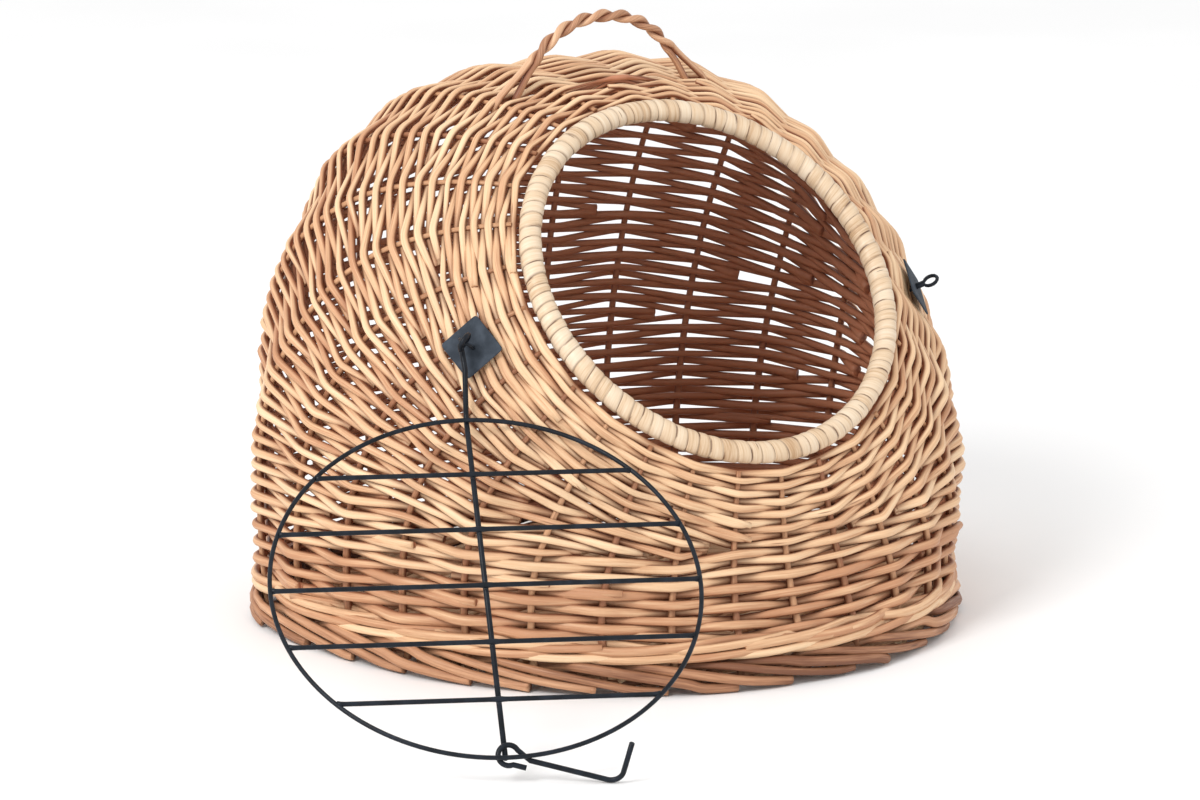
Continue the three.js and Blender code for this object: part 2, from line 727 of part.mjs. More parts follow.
// Door: a ring, a spine under the bars that ends in the hinge loop, and bars.
const DOOR_CENTRE = new THREE.Vector3(NECK_RUN + DOOR_RADIUS, 0, -NECK_RISE);

function toDoorFrame(vector) {
  return vector.clone().transformDirection(OPEN_FRAME.clone().transpose());
}

function hingeLoop() {
  const axis = toDoorFrame(SWING_AXIS);
  const neck = new THREE.Vector3(NECK_RUN, 0, -NECK_RISE).normalize();
  const down = neck.clone().addScaledVector(axis, -neck.dot(axis)).normalize();
  const aside = axis.clone().cross(down);
  const gather = THREE.MathUtils.degToRad(48);
  const steps = 12;
  const points = [];
  for (let i = 0; i <= steps; i += 1) {
    const angle = gather + (2 * Math.PI - 2 * gather) * i / steps;
    const point = down.clone().multiplyScalar(LOOP_RADIUS * Math.cos(angle));
    points.push(point.addScaledVector(aside, LOOP_RADIUS * Math.sin(angle)));
  }
  return points;
}

function spinePath() {
  const spineZ = DOOR_CENTRE.z - SPINE_WIRE_RADIUS - BAR_WIRE_RADIUS - GAP;
  const loop = hingeLoop();
  const neck = new THREE.Vector3(NECK_RUN, 0, -NECK_RISE).normalize();
  const root = neck.clone().multiplyScalar(3.2 * LOOP_RADIUS);
  const end = loop[loop.length - 1].clone().lerp(root, 0.25);
  return [
    ...roundedPath([
      new THREE.Vector3(DOOR_CENTRE.x + DOOR_RADIUS - RING_WIRE_RADIUS, 0, spineZ),
      new THREE.Vector3(DOOR_CENTRE.x - DOOR_RADIUS - NECK_LEAD, 0, spineZ),
      root,
    ], NECK_BEND_RADIUS),
    ...loop,
    end,
  ];
}

// Hook in its own frame: the loop lies round the origin in the XY plane, the
// shank runs along X and the tip stands up from it, leaning to Y.
function hookPath() {
  const steps = 12;
  const points = [];
  const start = THREE.MathUtils.degToRad(-52);
  const sweep = THREE.MathUtils.degToRad(-264);
  for (let i = 0; i <= steps; i += 1) {
    const angle = start + sweep * i / steps;
    const x = HOOK_LOOP_RADIUS * Math.cos(angle);
    points.push(new THREE.Vector3(x, HOOK_LOOP_RADIUS * Math.sin(angle), 0));
  }
  const tail = points[0].clone();
  tail.x += HOOK_TAIL;
  const elbow = new THREE.Vector3(HOOK_SHANK, 0, 0);
  const rise = new THREE.Vector3(0, Math.sin(HOOK_TIP_LEAN), Math.cos(HOOK_TIP_LEAN));
  const shank = roundedPath([
    new THREE.Vector3(HOOK_LOOP_NECK, 0, 0),
    elbow,
    elbow.clone().addScaledVector(rise, HOOK_TIP),
  ], HOOK_BEND_RADIUS);
  return [tail, ...points, ...shank];
}

// The hook's loop slopes, so that it clears the spine on one side of the door
// and the ring on the other.
function hookFrame() {
  const outward = new THREE.Vector3(Math.cos(HOOK_LOOP_SLOPE), 0, -Math.sin(HOOK_LOOP_SLOPE));
  const along = new THREE.Vector3(0, 1, 0);
  const normal = outward.clone().cross(along);
  const clearance = RING_WIRE_RADIUS + HOOK_WIRE_RADIUS + 2 * GAP;
  const shank = outward.clone().applyAxisAngle(normal, HOOK_REST_TURN);
  const frame = new THREE.Matrix4().makeBasis(shank, normal.clone().cross(shank), normal);
  return frame.setPosition(
    DOOR_CENTRE.x + DOOR_RADIUS - HOOK_LOOP_INSET,
    HOOK_LOOP_ASIDE,
    DOOR_CENTRE.z - clearance + HOOK_LOOP_INSET * Math.tan(HOOK_LOOP_SLOPE),
  );
}

function buildDoor() {
  const door = new THREE.Group();
  door.applyMatrix4(OPEN_FRAME.clone().setPosition(HINGE_POINT));
  carrier.add(door);
  const ring = new THREE.TorusGeometry(DOOR_RADIUS, RING_WIRE_RADIUS, WIRE_SIDES, RING_STEPS);
  addPiece('door_ring', closedGeometry(ring), COATED_STEEL, door).position.copy(DOOR_CENTRE);
  addPiece('door_spine', rod(spinePath(), SPINE_WIRE_RADIUS), COATED_STEEL, door);
  for (let i = 0; i < BAR_COUNT; i += 1) {
    const offset = DOOR_RADIUS * (2 * (i + 1) / (BAR_COUNT + 1) - 1);
    const clear = DOOR_RADIUS * Math.cos(Math.PI / RING_STEPS) - RING_WIRE_RADIUS - GAP;
    const half = Math.sqrt(clear ** 2 - (Math.abs(offset) + BAR_WIRE_RADIUS) ** 2);
    const bar = new THREE.CylinderGeometry(BAR_WIRE_RADIUS, BAR_WIRE_RADIUS, 2 * half, WIRE_SIDES);
    const mesh = addPiece(`cross_bar_${i + 1}`, closedGeometry(bar), COATED_STEEL, door);
    mesh.position.copy(DOOR_CENTRE);
    mesh.position.x += offset;
  }
  const hook = addPiece('latch_hook', rod(hookPath(), HOOK_WIRE_RADIUS), COATED_STEEL, door);
  hook.applyMatrix4(hookFrame());
}

buildBorder();
buildWale();
buildFloor();
buildStakes();
buildSiding();
buildRim();
buildHandle();
buildPlates();
buildDoor();

export default carrier;
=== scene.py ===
"""Looks of a wicker pet carrier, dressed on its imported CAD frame.

The basket is woven here rod by rod: stakes, weavers, waling, rolled border, floor, bound
rim and roped handle, with its coated wire door, pins, plates and hook. Lengths are in
millimetres until a mesh is written, +Z is up, the mouth faces -Y and the origin is the
middle of the floor's underside. Angles called turn run round the basket, -90 degrees at
its front; climb runs up the wall from the top of the waling, 0, to the mouth, 1.
"""

import logging
import math
from dataclasses import dataclass, field
from enum import Enum

import bpy
import numpy as np
from mathutils import Matrix, Vector


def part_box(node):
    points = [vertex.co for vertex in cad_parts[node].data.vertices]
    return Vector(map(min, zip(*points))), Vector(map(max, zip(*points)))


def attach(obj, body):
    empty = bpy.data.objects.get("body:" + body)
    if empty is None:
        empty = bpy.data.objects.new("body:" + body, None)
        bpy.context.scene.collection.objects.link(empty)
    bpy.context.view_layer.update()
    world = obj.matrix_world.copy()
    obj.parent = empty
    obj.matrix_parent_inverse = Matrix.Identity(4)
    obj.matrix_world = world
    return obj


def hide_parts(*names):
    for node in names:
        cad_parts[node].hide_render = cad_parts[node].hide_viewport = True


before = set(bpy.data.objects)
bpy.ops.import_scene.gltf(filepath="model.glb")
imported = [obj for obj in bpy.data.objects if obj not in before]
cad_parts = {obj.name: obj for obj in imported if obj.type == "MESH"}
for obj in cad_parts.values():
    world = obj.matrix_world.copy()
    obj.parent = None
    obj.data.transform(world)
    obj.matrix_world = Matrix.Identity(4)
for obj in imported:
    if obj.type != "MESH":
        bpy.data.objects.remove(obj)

Array = np.ndarray
LOG = logging.getLogger("pet_carrier")
MM = 0.001
UP = np.array([0.0, 0.0, 1.0])
ACROSS = np.array([1.0, 0.0, 0.0])
BACK = np.array([0.0, 1.0, 0.0])


class Body(Enum):
    """The moving bodies of the carrier, by their names in the CAD record."""

    BASKET = "basket"
    DOOR = "door"
    HOOK = "hook"


class Side(Enum):
    """The two sides of the mouth that carry a plate and a pin."""

    LEFT = -1
    RIGHT = 1


class Slot(Enum):
    """The record's material slots."""

    WILLOW = "willow"
    DARK_WILLOW = "dark_willow"
    SKEIN = "skein"
    STEEL = "coated_steel"


def unit(vectors: Array) -> Array:
    """Returns vectors scaled to length 1 along their last axis."""
    return vectors / np.linalg.norm(vectors, axis=-1, keepdims=True)


def blend_between(low: float, high: float, share: Array) -> Array:
    """Returns the straight mix of two values, low where share is 0."""
    return low + (high - low) * share


def spoke_at(turn: Array) -> Array:
    """Returns level directions away from the basket's middle, one for each turn."""
    return np.stack([np.cos(turn), np.sin(turn), np.zeros_like(turn)], -1)


def turn_at(step: Array | float, count: int) -> Array | float:
    """Returns the turn of a step out of count round the basket, from the front."""
    return -math.pi / 2 + 2 * math.pi * step / count


def plain_weave(stake: Array, row: int) -> Array:
    """Returns 1 where a row passes outside a stake, and -1 where it passes inside."""
    return np.where((stake + row) % 2 == 0, 1.0, -1.0)


def middle_of(node: str) -> Array:
    """Returns the middle of a CAD node's box, in millimetres."""
    low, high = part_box(node)
    return (np.array(low) + np.array(high)) / 2 / MM


def smooth_through(knots: Array, count: int) -> Array:
    """Draws a smooth path through a few knots.

    The path is a Catmull-Rom curve: between two knots it is the cubic whose slope at
    each knot is half the step between that knot's neighbours.

    Args:
        knots: Knots in order, shape (n, k).
        count: Samples between each pair of knots.

    Returns:
        Points on the path, both end knots among them.
    """
    ends = np.vstack([2 * knots[0] - knots[1], knots, 2 * knots[-1] - knots[-2]])
    t = np.arange(count)[None, :, None] / count
    a, b, c, d = (ends[i:len(ends) - 3 + i, None, :] for i in range(4))
    curve = 0.5 * (
        2 * b + (c - a) * t + (2 * a - 5 * b + 4 * c - d) * t**2
        + (3 * b - a - 3 * c + d) * t**3
    )
    return np.vstack([curve.reshape(-1, knots.shape[1]), knots[-1:]])


def rounded_corners(corners: Array, bend: float, steps: int = 8) -> Array:
    """Rounds the corners of a polyline by arcs of one radius.

    At each corner the arc's centre lies on the bisector, bend / sin(half angle) away,
    and the arc runs between the two points where it touches the legs.

    Args:
        corners: Corners in order, shape (n, 3).
        bend: Radius of the arcs.
        steps: Samples along each arc.

    Returns:
        Points of the rounded path.
    """
    points = [corners[:1]]
    share = np.linspace(0.0, 1.0, steps + 1)[:, None]
    for before, corner, after in zip(corners, corners[1:], corners[2:]):
        back, ahead = unit(before - corner), unit(after - corner)
        half = math.acos(float(np.clip(back @ ahead, -1, 1))) / 2
        centre = unit(back + ahead) * bend / math.sin(half)
        start = back * bend / math.tan(half) - centre
        end = ahead * bend / math.tan(half) - centre
        sweep = math.pi - 2 * half
        spoke = start * np.sin(sweep * (1 - share)) + end * np.sin(sweep * share)
        points.append(corner + centre + spoke / math.sin(sweep))
    points.append(corners[-1:])
    return np.vstack(points)


# ---------------------------------------------------------------- meshes


@dataclass
class Bundle:
    """Tubes and sheets gathered into one piece before its mesh is written.

    Each vertex carries grain (metres along the fibre, then two coordinates across it),
    tone (a number for its rod) and shade, the painted shade that is 1 where the rod
    turns to the dark inside.
    """

    points: list[Array] = field(default_factory=list)
    quads: list[Array] = field(default_factory=list)
    caps: list[Array] = field(default_factory=list)
    grain: list[Array] = field(default_factory=list)
    tone: list[Array] = field(default_factory=list)
    shade: list[Array] = field(default_factory=list)
    count: int = 0

    def _add(self, points: Array, grain: Array, tone: Array, shade: Array) -> int:
        """Stores vertices and their values.

        Args:
            points: Places, shape (n, 3).
            grain: Grain coordinates, shape (n, 3).
            tone: Tones, shape (n,).
            shade: Shades, shape (n,).

        Returns:
            Number of the first of these vertices.
        """
        first = self.count
        self.points.append(points)
        self.grain.append(grain)
        self.tone.append(tone)
        self.shade.append(shade)
        self.count += len(points)
        return first

    def add_tube(
        self,
        path: Array,
        radius: Array | float,
        outward: Array,
        tone: float = 0.5,
        sides: int = 8,
        shaded: float = 0.0,
        closed: bool = False,
        depth: Array | float = 0.0,
    ) -> None:
        """Adds a round rod carried along a path.

        Each section is a circle about its path point in the plane square to the path:
        point + r (cos a A + sin a B), with A the outward direction made square to the
        path's tangent T and B = T x A.

        Args:
            path: Points of the rod's middle, shape (n, 3).
            radius: One radius, or one for each point.
            outward: Direction of A, one for all points or one each.
            tone: Number of the rod, 0 to 1, for its colour.
            sides: Faces round the rod.
            shaded: How dark the painted shade makes the side away from outward, 0 to 1.
            closed: Whether the path runs back into its own start.
            depth: Extra painted shade of each point, for a rod that dips behind others.
        """
        n = len(path)
        if closed:
            tangent = np.roll(path, -1, 0) - np.roll(path, 1, 0)
            steps = np.linalg.norm(path - np.roll(path, 1, 0), axis=1)
        else:
            tangent = np.gradient(path, axis=0)
            steps = np.r_[0.0, np.linalg.norm(np.diff(path, axis=0), axis=1)]
        tangent = unit(tangent)
        outward = np.broadcast_to(outward, path.shape)
        a = unit(outward - np.sum(outward * tangent, 1, keepdims=True) * tangent)
        b = np.cross(tangent, a)
        angle = 2 * np.pi * np.arange(sides) / sides
        cosine, sine = np.cos(angle), np.sin(angle)
        spoke = cosine[:, None] * a[:, None, :] + sine[:, None] * b[:, None, :]
        radii = np.broadcast_to(radius, (n,))
        points = path[:, None, :] + radii[:, None, None] * spoke
        along = np.repeat(np.cumsum(steps) * MM, sides)
        grain = np.stack([along, np.tile(cosine, n), np.tile(sine, n)], 1)
        # Painted shade: darkest on the side away from outward and where the rod dips behind others.
        sunk = np.broadcast_to(depth, (n,))[:, None]
        shade = (np.clip(0.5 - 0.5 * cosine + sunk, 0, 1) * shaded).reshape(-1)
        first = self._add(points.reshape(-1, 3), grain, np.full(n * sides, tone), shade)
        rings = n if closed else n - 1
        i, j = np.meshgrid(np.arange(rings), np.arange(sides), indexing="ij")
        ahead, k = (i + 1) % n, (j + 1) % sides
        quads = np.stack([i * sides + j, i * sides + k, ahead * sides + k, ahead * sides + j], 2)
        self.quads.append(quads.reshape(-1, 4) + first)
        if not closed:
            start = np.arange(sides)[::-1]
            end = np.arange(sides) + (n - 1) * sides
            self.caps.append(np.stack([start, end]) + first)

    def add_sheet(
        self,
        points: Array,
        grain: Array,
        tone: Array,
        shade: Array,
        shift: int = 0,
    ) -> None:
        """Adds a sheet closed both ways, as on a ring-shaped tube.

        Args:
            points: Grid of points, shape (n, m, 3).
            grain: Grain coordinates of the grid, shape (n, m, 3).
            tone: Tone of the grid, shape (n, m).
            shade: Shade of the grid, shape (n, m).
            shift: Rows by which the last column is joined ahead of the first one.
        """
        n, m, _ = points.shape
        first = self._add(
            points.reshape(-1, 3), grain.reshape(-1, 3), tone.reshape(-1), shade.reshape(-1)
        )
        i, j = np.meshgrid(np.arange(n), np.arange(m), indexing="ij")

        def number(row: Array, column: Array) -> Array:
            """Returns vertex numbers, with the last column joined to the first."""
            turned = np.where(column >= m, row + shift, row) % n
            return turned * m + column % m

        quads = np.stack(
            [number(i, j), number(i, j + 1), number(i + 1, j + 1), number(i + 1, j)], 2
        )
        self.quads.append(quads.reshape(-1, 4) + first)

    def build(self, name: str) -> bpy.types.Object:
        """Writes the gathered faces into a mesh in metres and links its object.

        Args:
            name: Name of the mesh and of its object.

        Returns:
            The object.
        """
        points = np.concatenate(self.points) * MM
        faces = [np.concatenate(self.quads)]
        by_size: dict[int, list[Array]] = {}
        for cap in self.caps:
            by_size.setdefault(cap.shape[1], []).append(cap)
        faces += [np.concatenate(group) for _, group in sorted(by_size.items())]
        corners = np.concatenate([group.reshape(-1) for group in faces]).astype(np.int32)
        totals = np.concatenate([np.full(len(group), group.shape[1]) for group in faces])
        starts = np.r_[0, np.cumsum(totals)[:-1]].astype(np.int32)
        mesh = bpy.data.meshes.new(name)
        mesh.vertices.add(len(points))
        mesh.vertices.foreach_set("co", points.astype(np.float32).reshape(-1))
        mesh.loops.add(len(corners))
        mesh.loops.foreach_set("vertex_index", corners)
        mesh.polygons.add(len(totals))
        mesh.polygons.foreach_set("loop_start", starts)
        mesh.polygons.foreach_set("use_smooth", np.arange(len(totals)) < len(faces[0]))
        for label, kind, key, values in (
            ("grain", "FLOAT_VECTOR", "vector", self.grain),
            ("tone", "FLOAT", "value", self.tone),
            ("shade", "FLOAT", "value", self.shade),
        ):
            layer = mesh.attributes.new(label, kind, "POINT")
            layer.data.foreach_set(key, np.concatenate(values).astype(np.float32).reshape(-1))
        mesh.update(calc_edges=True)
        mesh.validate()
        piece = bpy.data.objects.new(name, mesh)
        bpy.context.collection.objects.link(piece)
        return piece


# ---------------------------------------------------------------- finishes


class NodeWork:
    """Short hand for building shader nodes in one tree."""

    def __init__(self, tree: bpy.types.NodeTree) -> None:
        """Keeps the tree that nodes are added to."""
        self.tree = tree

    def add(self, kind: str, **settings: object) -> bpy.types.Node:
        """Adds a node and sets its properties.

        Args:
            kind: Blender's name for the type of node.
            **settings: Properties of the node and their values.

        Returns:
            The new node.
        """
        node = self.tree.nodes.new(kind)
        for key, value in settings.items():
            setattr(node, key, value)
        return node

    def put(self, node: bpy.types.Node, values: dict) -> bpy.types.Node:
        """Sets a node's inputs.

        Args:
            node: The node to feed.
            values: Plain values or other nodes' outputs, by name or number of the input.

        Returns:
            The same node.
        """
        for key, value in values.items():
            if isinstance(value, bpy.types.NodeSocket):
                self.tree.links.new(value, node.inputs[key])
            else:
                node.inputs[key].default_value = value
        return node

    def layer(self, name: str, output: str = "Fac") -> bpy.types.NodeSocket:
        """Returns a value that the mesh carries on its vertices."""
        return self.add("ShaderNodeAttribute", attribute_name=name).outputs[output]

    def place(self) -> bpy.types.NodeSocket:
        """Returns the object coordinates."""
        return self.add("ShaderNodeTexCoord").outputs["Object"]

    def math(
        self, operation: str, a: object, b: object = 0.0, clamp: bool = False
    ) -> bpy.types.NodeSocket:
        """Adds a Math node of one operation and returns its result."""
        node = self.add("ShaderNodeMath", operation=operation, use_clamp=clamp)
        return self.put(node, {0: a, 1: b}).outputs[0]

    def about_middle(self, value: object, gain: float) -> bpy.types.NodeSocket:
        """Returns (value - 0.5) times a gain, which swings about zero."""
        return self.math("MULTIPLY", self.math("SUBTRACT", value, 0.5), gain)

    def vector(self, operation: str, a: object, b: object) -> bpy.types.NodeSocket:
        """Adds a Vector Math node of one operation and returns its vector."""
        node = self.add("ShaderNodeVectorMath", operation=operation)
        return self.put(node, {0: a, 1: b}).outputs[0]

    def noise(
        self, vector: object, scale: float, detail: float = 2.0, rough: float = 0.5
    ) -> bpy.types.NodeSocket:
        """Adds a 3-D noise.

        Args:
            vector: Where the noise is read.
            scale: Waves to one unit of the vector.
            detail: Octaves of finer noise.
            rough: Share that each finer octave keeps of the one before.

        Returns:
            The noise, about 0 to 1.
        """
        node = self.add("ShaderNodeTexNoise")
        inputs = {"Vector": vector, "Scale": scale, "Detail": detail, "Roughness": rough}
        return self.put(node, inputs).outputs["Fac"]

    def spread(
        self, value: object, start: tuple[float, float], end: tuple[float, float] = (0.0, 1.0)
    ) -> bpy.types.NodeSocket:
        """Maps a value smoothly from one range onto another, and holds its ends.

        Args:
            value: The value.
            start: Low and high end of its range.
            end: What these two ends become.

        Returns:
            The mapped value.
        """
        node = self.add("ShaderNodeMapRange", interpolation_type="SMOOTHSTEP")
        return self.put(node, {0: value, 1: start[0], 2: start[1], 3: end[0], 4: end[1]}).outputs[0]

    def mix(self, factor: object, a: object, b: object) -> bpy.types.NodeSocket:
        """Returns a mix of two colours, the first where the factor is 0."""
        node = self.add("ShaderNodeMix", data_type="RGBA")
        return self.put(node, {0: factor, 6: a, 7: b}).outputs[2]

    def ramp(self, factor: object, stops: list[tuple[float, tuple]]) -> bpy.types.NodeSocket:
        """Adds a colour ramp.

        Args:
            factor: Where on the ramp the colour is read.
            stops: Places on the ramp and their colours.

        Returns:
            The colour.
        """
        node = self.add("ShaderNodeValToRGB")
        elements = node.color_ramp.elements
        while len(elements) < len(stops):
            elements.new(0.5)
        for element, (place, colour) in zip(elements, stops):
            element.position = place
            element.color = colour
        return self.put(node, {0: factor}).outputs[0]


class Surface(NodeWork):
    """A new material with its own tree and its principled shader."""

    def __init__(self, name: str) -> None:
        """Adds the material.

        Args:
            name: Name of the material.
        """
        self.material = bpy.data.materials.new(name)
        self.material.use_nodes = True
        super().__init__(self.material.node_tree)
        self.shader = self.tree.nodes["Principled BSDF"]

    def finish(
        self, colour: object, roughness: object, gloss: float, bump: dict | None = None
    ) -> bpy.types.Material:
        """Feeds the shader.

        Args:
            colour: Base colour.
            roughness: Roughness.
            gloss: Specular level, plain.
            bump: Inputs of a Bump node, or None for a flat surface.

        Returns:
            The material.
        """
        inputs = {"Base Color": colour, "Roughness": roughness, "Specular IOR Level": gloss}
        self.put(self.shader, inputs)
        if bump:
            node = self.put(self.add("ShaderNodeBump"), bump)
            self.put(self.shader, {"Normal": node.outputs[0]})
        return self.material


def paint(red: int, green: int, blue: int) -> tuple[float, float, float, float]:
    """Turns an everyday colour into the linear one that shaders take.

    Args:
        red: Red, 0 to 255.
        green: Green, 0 to 255.
        blue: Blue, 0 to 255.

    Returns:
        Linear red, green and blue, and a full alpha.
    """
    shares = np.array([red, green, blue]) / 255
    linear = np.where(shares <= 0.04045, shares / 12.92, ((shares + 0.055) / 1.055) ** 2.4)
    return (*(float(value) for value in linear), 1.0)


class FibreGroup:
    """Node group of split and peeled willow: fibre lines, blotches and small knots."""

    NAME = "willow_fibre"
    SHIFT_ALONG = 371.0
    SHIFT_ACROSS = 53.0
    BLOTCH_SCALE = (0.35, 0.22, 0.22)
    KNOT_SCALE = (0.42, 0.16, 0.16)
    KNOT_EDGE = (0.03, 0.10)

    def __init__(self) -> None:
        """Builds the group: noises on the stretched grain, moved on from rod to rod."""
        self.tree = bpy.data.node_groups.new(self.NAME, "ShaderNodeTree")
        sockets = {"INPUT": ("Along", "Across"), "OUTPUT": ("Fibre", "Blotch", "Knot")}
        for way, names in sockets.items():
            for name in names:
                self.tree.interface.new_socket(
                    name=name, in_out=way, socket_type="NodeSocketFloat"
                )
        work = NodeWork(self.tree)
        entry = work.add("NodeGroupInput").outputs
        grain, tone = work.layer("grain", "Vector"), work.layer("tone")
        stretch = work.put(
            work.add("ShaderNodeCombineXYZ"),
            {0: entry["Along"], 1: entry["Across"], 2: entry["Across"]},
        )
        shift = work.put(work.add("ShaderNodeCombineXYZ"), {
            0: work.math("MULTIPLY", tone, self.SHIFT_ALONG),
            1: work.math("MULTIPLY", tone, self.SHIFT_ACROSS),
        })
        place = work.vector("MULTIPLY", grain, stretch.outputs[0])
        place = work.vector("ADD", place, shift.outputs[0])
        cells = work.put(work.add("ShaderNodeTexVoronoi"), {
            "Vector": work.vector("MULTIPLY", place, self.KNOT_SCALE), "Scale": 1.0,
        })
        work.put(work.add("NodeGroupOutput"), {
            "Fibre": work.noise(place, 1.0, 3.0, 0.6),
            "Blotch": work.noise(work.vector("MULTIPLY", place, self.BLOTCH_SCALE), 1.0),
            "Knot": work.spread(cells.outputs["Distance"], self.KNOT_EDGE, (1.0, 0.0)),
        })


@dataclass(frozen=True)
class WillowFinish:
    """Peeled willow: a colour for each rod, fibre lines, knots and a painted dark inner side.

    A rod's colour lies on a ramp from pale to deep, at its tone plus the blotches and
    the streaks. Painted shade then turns it to the dark of the gaps and, past that,
    to that of faces that look into the cabin. With seams, it only darkens seams.
    """

    name: str
    pale: tuple
    middle: tuple
    deep: tuple
    # gap is painted shade between rods and also the colour of knots; inner is painted shade on
    # faces that look into the cabin.
    gap: tuple
    inner: tuple
    along: float = 30.0
    across: float = 2.4
    roughness: float = 0.5
    relief: float = 0.45
    seams: float = 0.0
    middle_place: float = 0.55
    wander: float = 1.1
    streaks: float = 1.3
    knots: float = 0.7
    gap_from: tuple = (0.2, 0.62)
    inner_from: tuple = (0.68, 0.98)
    gloss: float = 0.4
    relief_depth: float = 0.0006
    blotch_relief: float = 0.8

    def material(self, fibre: FibreGroup) -> bpy.types.Material:
        """Builds the material.

        Args:
            fibre: The shared group of willow's pattern.

        Returns:
            The material.
        """
        work = Surface(self.name)
        group = work.add("ShaderNodeGroup", node_tree=fibre.tree)
        lines, blotch, knot = work.put(
            group, {"Along": self.along, "Across": self.across}
        ).outputs
        shade = work.layer("shade")
        varied = work.math("ADD", work.layer("tone"), work.about_middle(blotch, self.wander))
        place = work.math("ADD", varied, work.about_middle(lines, self.streaks), clamp=True)
        stops = [(0.0, self.pale), (self.middle_place, self.middle), (1.0, self.deep)]
        colour = work.ramp(place, stops)
        colour = work.mix(work.math("MULTIPLY", knot, self.knots), colour, self.gap)
        # Painted shade: the seams alone, or the gaps and then the faces that look inward.
        if self.seams:
            colour = work.mix(work.math("MULTIPLY", shade, self.seams), colour, self.gap)
        else:
            colour = work.mix(work.spread(shade, self.gap_from), colour, self.gap)
            colour = work.mix(work.spread(shade, self.inner_from), colour, self.inner)
        uneven = (self.roughness - 0.08, self.roughness + 0.14)
        height = work.math("ADD", lines, work.math("MULTIPLY", blotch, self.blotch_relief))
        bump = {"Strength": self.relief, "Distance": self.relief_depth, "Height": height}
        return work.finish(colour, work.spread(lines, (0.2, 0.8), uneven), self.gloss, bump)


@dataclass(frozen=True)
class CoatedSteelFinish:
    """Wire and plate under a slate-coloured plastic coat, slightly uneven."""

    name: str = "slate_coat"
    colour: tuple = paint(17, 21, 27)
    worn: tuple = paint(34, 41, 51)
    roughness: float = 0.34
    gloss: float = 0.2
    broad_scale: float = 90.0
    fine_scale: float = 900.0
    most_worn: float = 0.7
    relief: float = 0.35
    relief_depth: float = 0.0004

    def material(self) -> bpy.types.Material:
        """Builds the material on object coordinates: broad wear under a fine grain."""
        work = Surface(self.name)
        place = work.place()
        broad = work.noise(place, self.broad_scale, 3.0, 0.55)
        fine = work.noise(place, self.fine_scale, 2.0, 0.6)
        wear = work.spread(broad, (0.35, 0.75), (0.0, self.most_worn))
        uneven = (self.roughness - 0.08, self.roughness + 0.16)
        height = work.math(
            "ADD", work.math("MULTIPLY", broad, 0.7), work.math("MULTIPLY", fine, 0.3)
        )
        bump = {"Strength": self.relief, "Distance": self.relief_depth, "Height": height}
        return work.finish(
            work.mix(wear, self.colour, self.worn), work.spread(fine, (0.2, 0.8), uneven),
            self.gloss, bump,
        )


@dataclass(frozen=True)
class StudioFinish:
    """Matt pale studio paper, barely uneven."""

    name: str = "studio_paper"
    colour: tuple = paint(250, 250, 250)
    clouded: tuple = paint(247, 247, 247)
    cloud_scale: float = 3.0

    def material(self) -> bpy.types.Material:
        """Builds the material on object coordinates."""
        work = Surface(self.name)
        cloud = work.spread(work.noise(work.place(), self.cloud_scale), (0.3, 0.7))
        return work.finish(work.mix(cloud, self.colour, self.clouded), 0.95, 0.1)


class Finishes:
    """Every finish of the carrier, each built once."""

    def __init__(self) -> None:
        """Builds the shared group and the materials."""
        fibre = FibreGroup()
        # Painted shade colours: gap for the shade between rods, which knots also take, inside for
        # faces in the dim cabin, and seam for the seams of the rim's skein.
        gap, inside, seam = paint(132, 78, 52), paint(190, 128, 96), paint(96, 62, 40)
        self.weaver = WillowFinish(
            "buff_willow", paint(240, 207, 168), paint(222, 180, 140), paint(192, 140, 104),
            gap, inside,
        ).material(fibre)
        self.stake = WillowFinish(
            "stake_willow", paint(214, 166, 126), paint(190, 140, 102), paint(158, 106, 76),
            gap, inside,
        ).material(fibre)
        self.border = WillowFinish(
            "border_willow", paint(216, 168, 130), paint(180, 130, 96), paint(126, 82, 58),
            # Painted shade of the border's gaps and of its faces that look inward.
            paint(84, 50, 36), paint(120, 76, 56),
        ).material(fibre)
        self.skein = WillowFinish(
            "rim_skein_willow", paint(228, 209, 184), paint(216, 189, 157), paint(186, 150, 113),
            seam, seam, along=60.0, across=5.0, roughness=0.42, relief=0.2, seams=0.95,
        ).material(fibre)
        self.handle = WillowFinish(
            "handle_willow", paint(224, 184, 148), paint(194, 146, 112), paint(150, 104, 76),
            gap, inside,
        ).material(fibre)
        self.steel = CoatedSteelFinish().material()
        self.plate = CoatedSteelFinish(
            "slate_plate", paint(48, 54, 62), paint(74, 82, 92), roughness=0.6, gloss=0.12,
        ).material()
        self.paper = StudioFinish().material()


@dataclass(frozen=True)
class Piece:
    """One piece: its shape, finish, body and slot, and the CAD nodes it stands for."""

    name: str
    bundle: Bundle
    finish: bpy.types.Material
    body: Body
    slot: Slot
    replaced: list[str]

    def dress(self) -> None:
        """Writes the piece's mesh, hangs it on its body and hides the CAD nodes it stands for."""
        piece = self.bundle.build(self.name)
        piece.data.materials.append(self.finish)
        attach(piece, self.body.value)
        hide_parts(*self.replaced)
        LOG.info("%s: %d faces on %s", self.name, len(piece.data.polygons), self.body.value)


# ---------------------------------------------------------------- the basket's form


